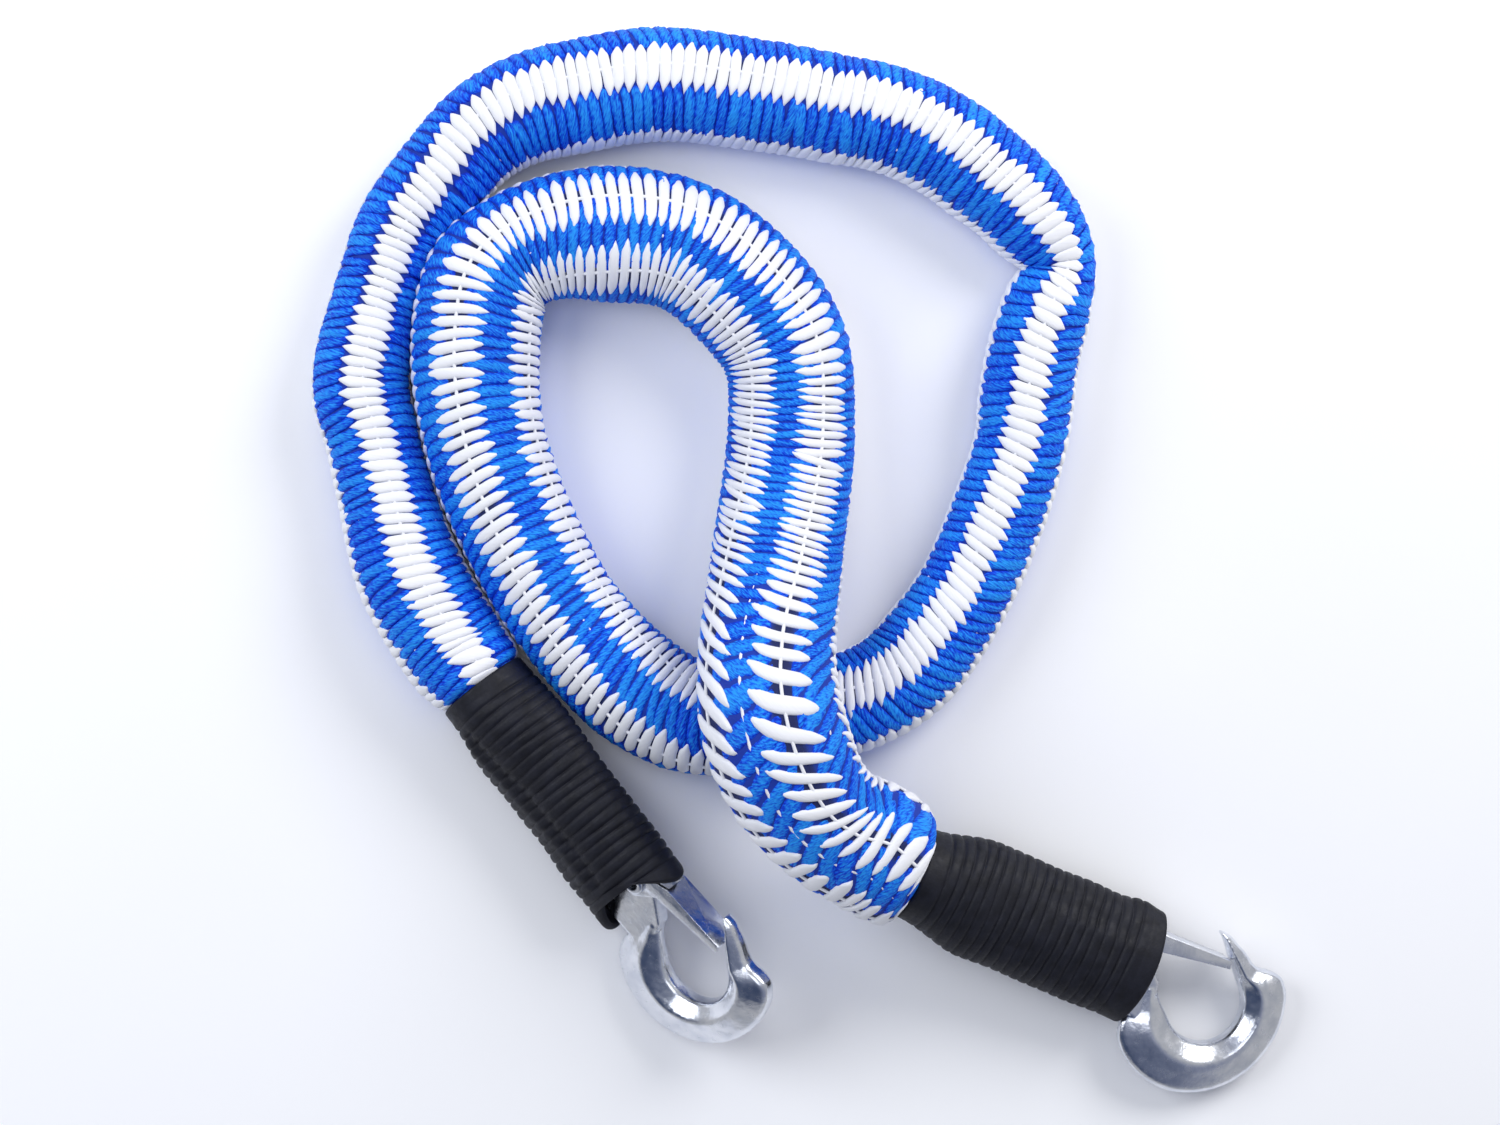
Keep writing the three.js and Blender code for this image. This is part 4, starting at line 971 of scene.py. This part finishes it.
def eye_surface():
    a, b = np.meshgrid(full_turn(EYE_STEPS), full_turn(EYE_SIDES), indexing="ij")
    out = EYE_RADIUS + EYE_TUBE * np.cos(b)
    points = np.stack([out * np.cos(a), out * np.sin(a), EYE_TUBE * np.sin(b)], axis=-1).reshape(-1, 3)
    return points, [tuple(q) for q in ring_quads(EYE_STEPS, EYE_SIDES, wrap=True)]


def outward(piece):
    with edited(piece) as edit:
        bmesh.ops.recalc_face_normals(edit, faces=edit.faces)
    return piece


def pivot_cylinder(name, radius, low, high):
    """A cylinder round the latch's pivot, to cut the hook with."""
    turn = full_turn(HOLE_SIDES)
    flat = np.column_stack([PIVOT[0] + radius * np.cos(turn), PIVOT[1] + radius * np.sin(turn)])
    rings = np.stack([np.column_stack([flat, np.full(HOLE_SIDES, z)]) for z in (low, high)])
    points, faces = closed_loft(rings)
    return outward(mesh_object(name, points * MM, faces, smooth=False))


def settle(piece):
    """Turns a piece's modifiers into its mesh."""
    mesh = bpy.data.meshes.new_from_object(piece.evaluated_get(bpy.context.evaluated_depsgraph_get()))
    piece.modifiers.clear()
    piece.data = mesh
    return piece


def hook_mesh():
    """The forged hook in its own frame, in metres: bowl, shank and eye run together, and drilled for the pin."""
    points, faces = [], []
    for surface_points, surface_faces in (bowl_surface(), shank_surface(), eye_surface()):
        start = sum(len(p) for p in points)
        points.append(surface_points)
        faces += [tuple(start + i for i in face) for face in surface_faces]
    piece = outward(mesh_object("hook_master", np.vstack(points) * MM, faces))
    assign(piece.modifiers.new("run_together", "REMESH"), mode="VOXEL", voxel_size=HOOK_VOXEL * MM)
    assign(piece.modifiers.new("soften", "SMOOTH"), factor=SOFTEN_SHARE, iterations=SOFTEN_PASSES)
    settle(piece)
    through = 2 * SHANK_THICKNESS
    cutters = [
        pivot_cylinder("pin_hole", PIN_RADIUS + PIN_PLAY, -through, through),
        pivot_cylinder("spring_pocket", SPRING_RADIUS + SPRING_WIRE / 2 + GAP, SEAT_FLOOR, through),
    ]
    for cutter in cutters:
        assign(piece.modifiers.new(cutter.name, "BOOLEAN"), operation="DIFFERENCE", solver="EXACT", object=cutter)
    settle(piece)
    mesh = piece.data
    for spare in [piece, *cutters]:
        bpy.data.objects.remove(spare)
    mesh.shade_smooth()
    return mesh


def copy_placed(name, mesh, matrix):
    placed = mesh.copy()
    placed.name = name
    placed.transform(matrix)
    return link(bpy.data.objects.new(name, placed))


def hook_frame(end):
    eye = end_matrix(end) @ Matrix.Translation((-end["eye_depth"], 0, 0))
    return eye @ rotation(end["hook_turn"], "Z")


# The closed latch reaches from the pivot to its seat under the beak
beak_inner = BOWL_INNER * np.interp(BEAK_SEAT, HOOK_SECTIONS[:, 0], HOOK_SECTIONS[:, 1])
seat = around_bowl(BEAK_SEAT, beak_inner - GAP)
latch_reach = float(np.linalg.norm(seat - PIVOT))
LATCH_LENGTH = math.sqrt(latch_reach ** 2 - LATCH_TIP_TOP ** 2)
LATCH_TURN = math.atan2(*(seat - PIVOT)[::-1]) - math.atan2(LATCH_TIP_TOP, LATCH_LENGTH)
WEB_FALL = (LATCH_SHOULDER[1] - LATCH_TIP_TOP) / (LATCH_LENGTH - LATCH_SHOULDER[0])
WEB_SKIN = LATCH_SHEET * math.hypot(1, WEB_FALL)


def latch_frame(end):
    pivot = hook_frame(end) @ Matrix.Translation((PIVOT[0] * MM, PIVOT[1] * MM, 0))
    return pivot @ Matrix.Rotation(LATCH_TURN, 4, "Z")


SHEET_ROUND = 0.42
ROUND_STEPS = 3
WELD = 0.00002
# Degrees: flatter edges dissolve, sharper ones are rounded, and the sharpest shade apart
FLAT_EDGE, ROUND_EDGE, SHARP_EDGE = 2, 35, 40


def latch_piece(end):
    """Pressed sheet latch: the CAD shape with its bends and edges rounded."""
    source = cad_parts[end["side"] + "_latch"]
    piece = link(bpy.data.objects.new(end["side"] + "_latch_sheet", source.data.copy()))
    with edited(piece) as edit:
        bmesh.ops.remove_doubles(edit, verts=edit.verts, dist=WELD)
        bmesh.ops.dissolve_limit(edit, angle_limit=math.radians(FLAT_EDGE), verts=edit.verts, edges=edit.edges)
    assign(piece.modifiers.new("edges", "BEVEL"), width=SHEET_ROUND * MM, segments=ROUND_STEPS, limit_method="ANGLE",
           angle_limit=math.radians(ROUND_EDGE))
    settle(piece)
    piece.data.shade_smooth()
    piece.data.set_sharp_from_angle(angle=math.radians(SHARP_EDGE))
    return piece


PIN_SIDES = 48
HEAD_ROLL = np.radians(np.linspace(-60, 180, 15))
HEAD_MIDDLE = 0.45  # height of the rolled head's middle, as a share of PIN_HEAD
HEAD_INSET = 0.5
BORE_DEPTH = 1.5


def pin_piece(end):
    """Hollow rivet with rolled heads."""
    under = LATCH_HALF + GAP
    middle, half_width = (PIN_HEAD_RADIUS + PIN_BORE) / 2, (PIN_HEAD_RADIUS - PIN_BORE) / 2
    head = [(middle + half_width * math.cos(a), under + PIN_HEAD * (HEAD_MIDDLE + (1 - HEAD_MIDDLE) * math.sin(a)))
            for a in HEAD_ROLL]
    side = [(PIN_RADIUS, 0.0), (PIN_RADIUS, under), (PIN_HEAD_RADIUS - HEAD_INSET, under)]
    side += head + [(PIN_BORE, under + PIN_HEAD - BORE_DEPTH)]
    profile = np.array([(r, -z) for r, z in reversed(side[1:])] + side)
    turn = full_turn(PIN_SIDES)
    r, z = profile[:, :1], profile[:, 1:]
    points = np.stack([r * np.cos(turn), r * np.sin(turn), np.broadcast_to(z, (len(profile), PIN_SIDES))], axis=-1)
    return outward(fast_mesh(end["side"] + "_latch_rivet", in_frame(points, latch_frame(end)),
                             ring_quads(len(profile), PIN_SIDES, wrap=True)))


COIL_STEPS, COIL_SIDES = 36, 10
LEG_STEPS = np.linspace(0.15, 1, 8)


def spring_piece(end):
    """Torsion spring round the pin, whose leg presses on the latch's web from below."""
    low = SEAT_FLOOR + GAP + SPRING_WIRE / 2
    high = SHANK_THICKNESS / 2 + GAP + SPRING_WIRE / 2
    steps = int(SPRING_TURNS * COIL_STEPS)
    turn = math.pi / 2 + math.tau * np.arange(steps, -1, -1) / COIL_STEPS
    coil = np.stack([SPRING_RADIUS * np.cos(turn), SPRING_RADIUS * np.sin(turn), np.linspace(low, high, steps + 1)],
                    axis=1)
    leg_end = LATCH_SHOULDER[0] + SPRING_LEG
    web_under = LATCH_SHOULDER[1] - WEB_SKIN - WEB_FALL * (leg_end - LATCH_SHOULDER[0])
    bend = np.array([(SPRING_RADIUS + leg_end) / 2, SPRING_RADIUS, high])
    tip = np.array([leg_end, web_under - GAP - SPRING_WIRE / 2, high])
    leg = [start + (stop - start) * t for start, stop in ((coil[-1], bend), (bend, tip)) for t in LEG_STEPS]
    return wire_piece(end["side"] + "_latch_coil", np.vstack([coil, leg]), SPRING_WIRE / 2, COIL_SIDES,
                      latch_frame(end), (0, 0, 1))


# Finishes of the hardware
PATCH_RANGE = (0.3, 0.7)  # of the noise that the roughness follows
ROUGH_SCALE = 2.3  # roughness patches to a colour patch


def mottled(name, stops, scale, roughness, metallic, bumps, **more):
    """A finish whose colour and roughness vary in patches, with bumps of some scale, strength and depth."""
    m, tree = material(name)
    where = object_place(tree)
    rough = add(tree, "MapRange", Value=noise(tree, where, ROUGH_SCALE * scale, 5.0), From_Min=PATCH_RANGE[0],
                From_Max=PATCH_RANGE[1], To_Min=roughness[0], To_Max=roughness[1])
    coat(tree, Base_Color=ramp(tree, noise(tree, where, scale, 4.0), stops), Roughness=rough.outputs["Result"],
         Metallic=metallic, Normal=bump(tree, noise(tree, where, bumps[0]), *bumps[1:]), **more)
    return m


zinc = mottled("zinc_plate", [(0.35, (0.66, 0.69, 0.76)), (0.6, (0.80, 0.82, 0.87))], 160, (0.14, 0.30), 1.0,
               (420, 0.12, 0.0008))
spring_wire = mottled("spring_wire", [(0.4, (0.42, 0.43, 0.46)), (0.6, (0.55, 0.56, 0.58))], 300, (0.25, 0.4), 1.0,
                      (900, 0.1, 0.0003))
sleeve_skin = mottled("sleeve_skin", [(0.35, (0.004, 0.0045, 0.009)), (0.65, (0.009, 0.010, 0.018))], 220, (0.5, 0.66),
                      0.0, (1500, 0.2, 0.0004), Specular_IOR_Level=0.3)
whip_cord = mottled("whip_cord", [(0.4, (0.02, 0.02, 0.022)), (0.6, (0.04, 0.04, 0.045))], 900, (0.6, 0.8), 0.0,
                    (2500, 0.5, 0.0004))
rubber = mottled("strand_rubber", [(0.4, (0.50, 0.40, 0.26)), (0.6, (0.58, 0.47, 0.31))], 200, (0.7, 0.85), 0.0,
                 (700, 0.2, 0.0004))


def finish_piece(piece, finish, node, body=BODY):
    piece.data.materials.clear()
    piece.data.materials.append(finish)
    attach(piece, body)
    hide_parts(node)


hook_master = hook_mesh()
for end in ENDS:
    side = end["side"]
    finish_piece(sleeve_piece(end), sleeve_skin, side + "_sleeve")
    finish_piece(whipping_piece(end), whip_cord, side + "_whipping")
    finish_piece(braid_loop_piece(end), blue_yarn, side + "_braid_loop")
    hook = copy_placed(side + "_hook_forging", hook_master, hook_frame(end))
    finish_piece(hook, zinc, side + "_hook")
    finish_piece(latch_piece(end), zinc, side + "_latch", body=side + "_gate")
    finish_piece(pin_piece(end), zinc, side + "_latch_pin")
    finish_piece(spring_piece(end), spring_wire, side + "_latch_spring")

# Core strands inside the rope
CORE_STRANDS = 5
STRAND_DIAMETER = 0.0054
STRAND_SIDES, STRAND_STEPS = 12, 300
STRAND_RING = (STRAND_DIAMETER + GAP * MM) / 2 / math.sin(math.pi / CORE_STRANDS)
s = thread_run(STRAND_STEPS)
offset = np.full_like(s, STRAND_RING)
for k in range(CORE_STRANDS):
    angle = np.full_like(s, math.tau * k / CORE_STRANDS)
    strand = thread_piece("rubber_strand_%d" % (k + 1), STRAND_DIAMETER / 2, STRAND_SIDES, s, angle, offset)
    finish_piece(strand, rubber, "core_strand_%d" % (k + 1))

# Floor, light and world
floor = mesh_object("floor", [(-4, -4, 0), (4, -4, 0), (4, 4, 0), (-4, 4, 0)], [(0, 1, 2, 3)], smooth=False)
floor_material, tree = material("pale_floor")
patches = noise(tree, object_place(tree), 3.0)
coat(tree, Base_Color=ramp(tree, patches, [(0.3, (0.94, 0.945, 0.97)), (0.7, (0.96, 0.965, 0.98))]), Roughness=0.7)
floor.data.materials.append(floor_material)


def lamp(name, place_at, size, power, colour):
    """A round area lamp that faces the origin."""
    light = assign(bpy.data.lights.new(name, "AREA"), shape="DISK", size=size, energy=power, color=colour)
    assign(link(bpy.data.objects.new(name, light)), location=place_at,
           rotation_euler=(-Vector(place_at)).to_track_quat("-Z", "Y").to_euler())


lamp("key", (0.75, 0.7, 0.8), size=0.7, power=9.6, colour=(1.0, 0.99, 0.98))
lamp("top", (-0.1, 0.1, 1.7), size=0.9, power=3, colour=(0.97, 0.98, 1.0))
lamp("left", (-0.85, 0.3, 0.85), size=0.9, power=8.1, colour=(0.95, 0.97, 1.0))

# The sky brightens towards one side, by how far a direction leans that way, and is pale near the horizon
SKY_LEAN, SKY_MIDDLE = (0.40, 0.28, 0.0), 0.5
SKY_STOPS = [(0.2, (0.10, 0.14, 0.26)), (0.45, (0.45, 0.50, 0.68)), (0.7, (0.95, 0.96, 1.0))]
HORIZON, HORIZON_COLOUR = (0.2, 0.42), (0.92, 0.93, 0.97, 1)
SKY_STRENGTH = 0.5
scene.world = assign(bpy.data.worlds.new("studio"), use_nodes=True)
tree = scene.world.node_tree
direction = add(tree, "TexCoord").outputs["Generated"]
lean = assign(add(tree, "VectorMath"), operation="DOT_PRODUCT")
tree.links.new(direction, lean.inputs[0])
lean.inputs[1].default_value = SKY_LEAN
shift = assign(add(tree, "Math"), operation="ADD")
tree.links.new(lean.outputs["Value"], shift.inputs[0])
shift.inputs[1].default_value = SKY_MIDDLE
height = add(tree, "SeparateXYZ", Vector=direction).outputs["Z"]
above = add(tree, "MapRange", Value=height, From_Min=HORIZON[0], From_Max=HORIZON[1]).outputs["Result"]
room = assign(add(tree, "Mix"), data_type="RGBA")
feed(tree, room, Factor=above, A=HORIZON_COLOUR, B=ramp(tree, shift.outputs["Value"], SKY_STOPS))
feed(tree, tree.nodes["Background"], Color=room.outputs["Result"], Strength=SKY_STRENGTH)

scene.view_settings.view_transform = "Standard"
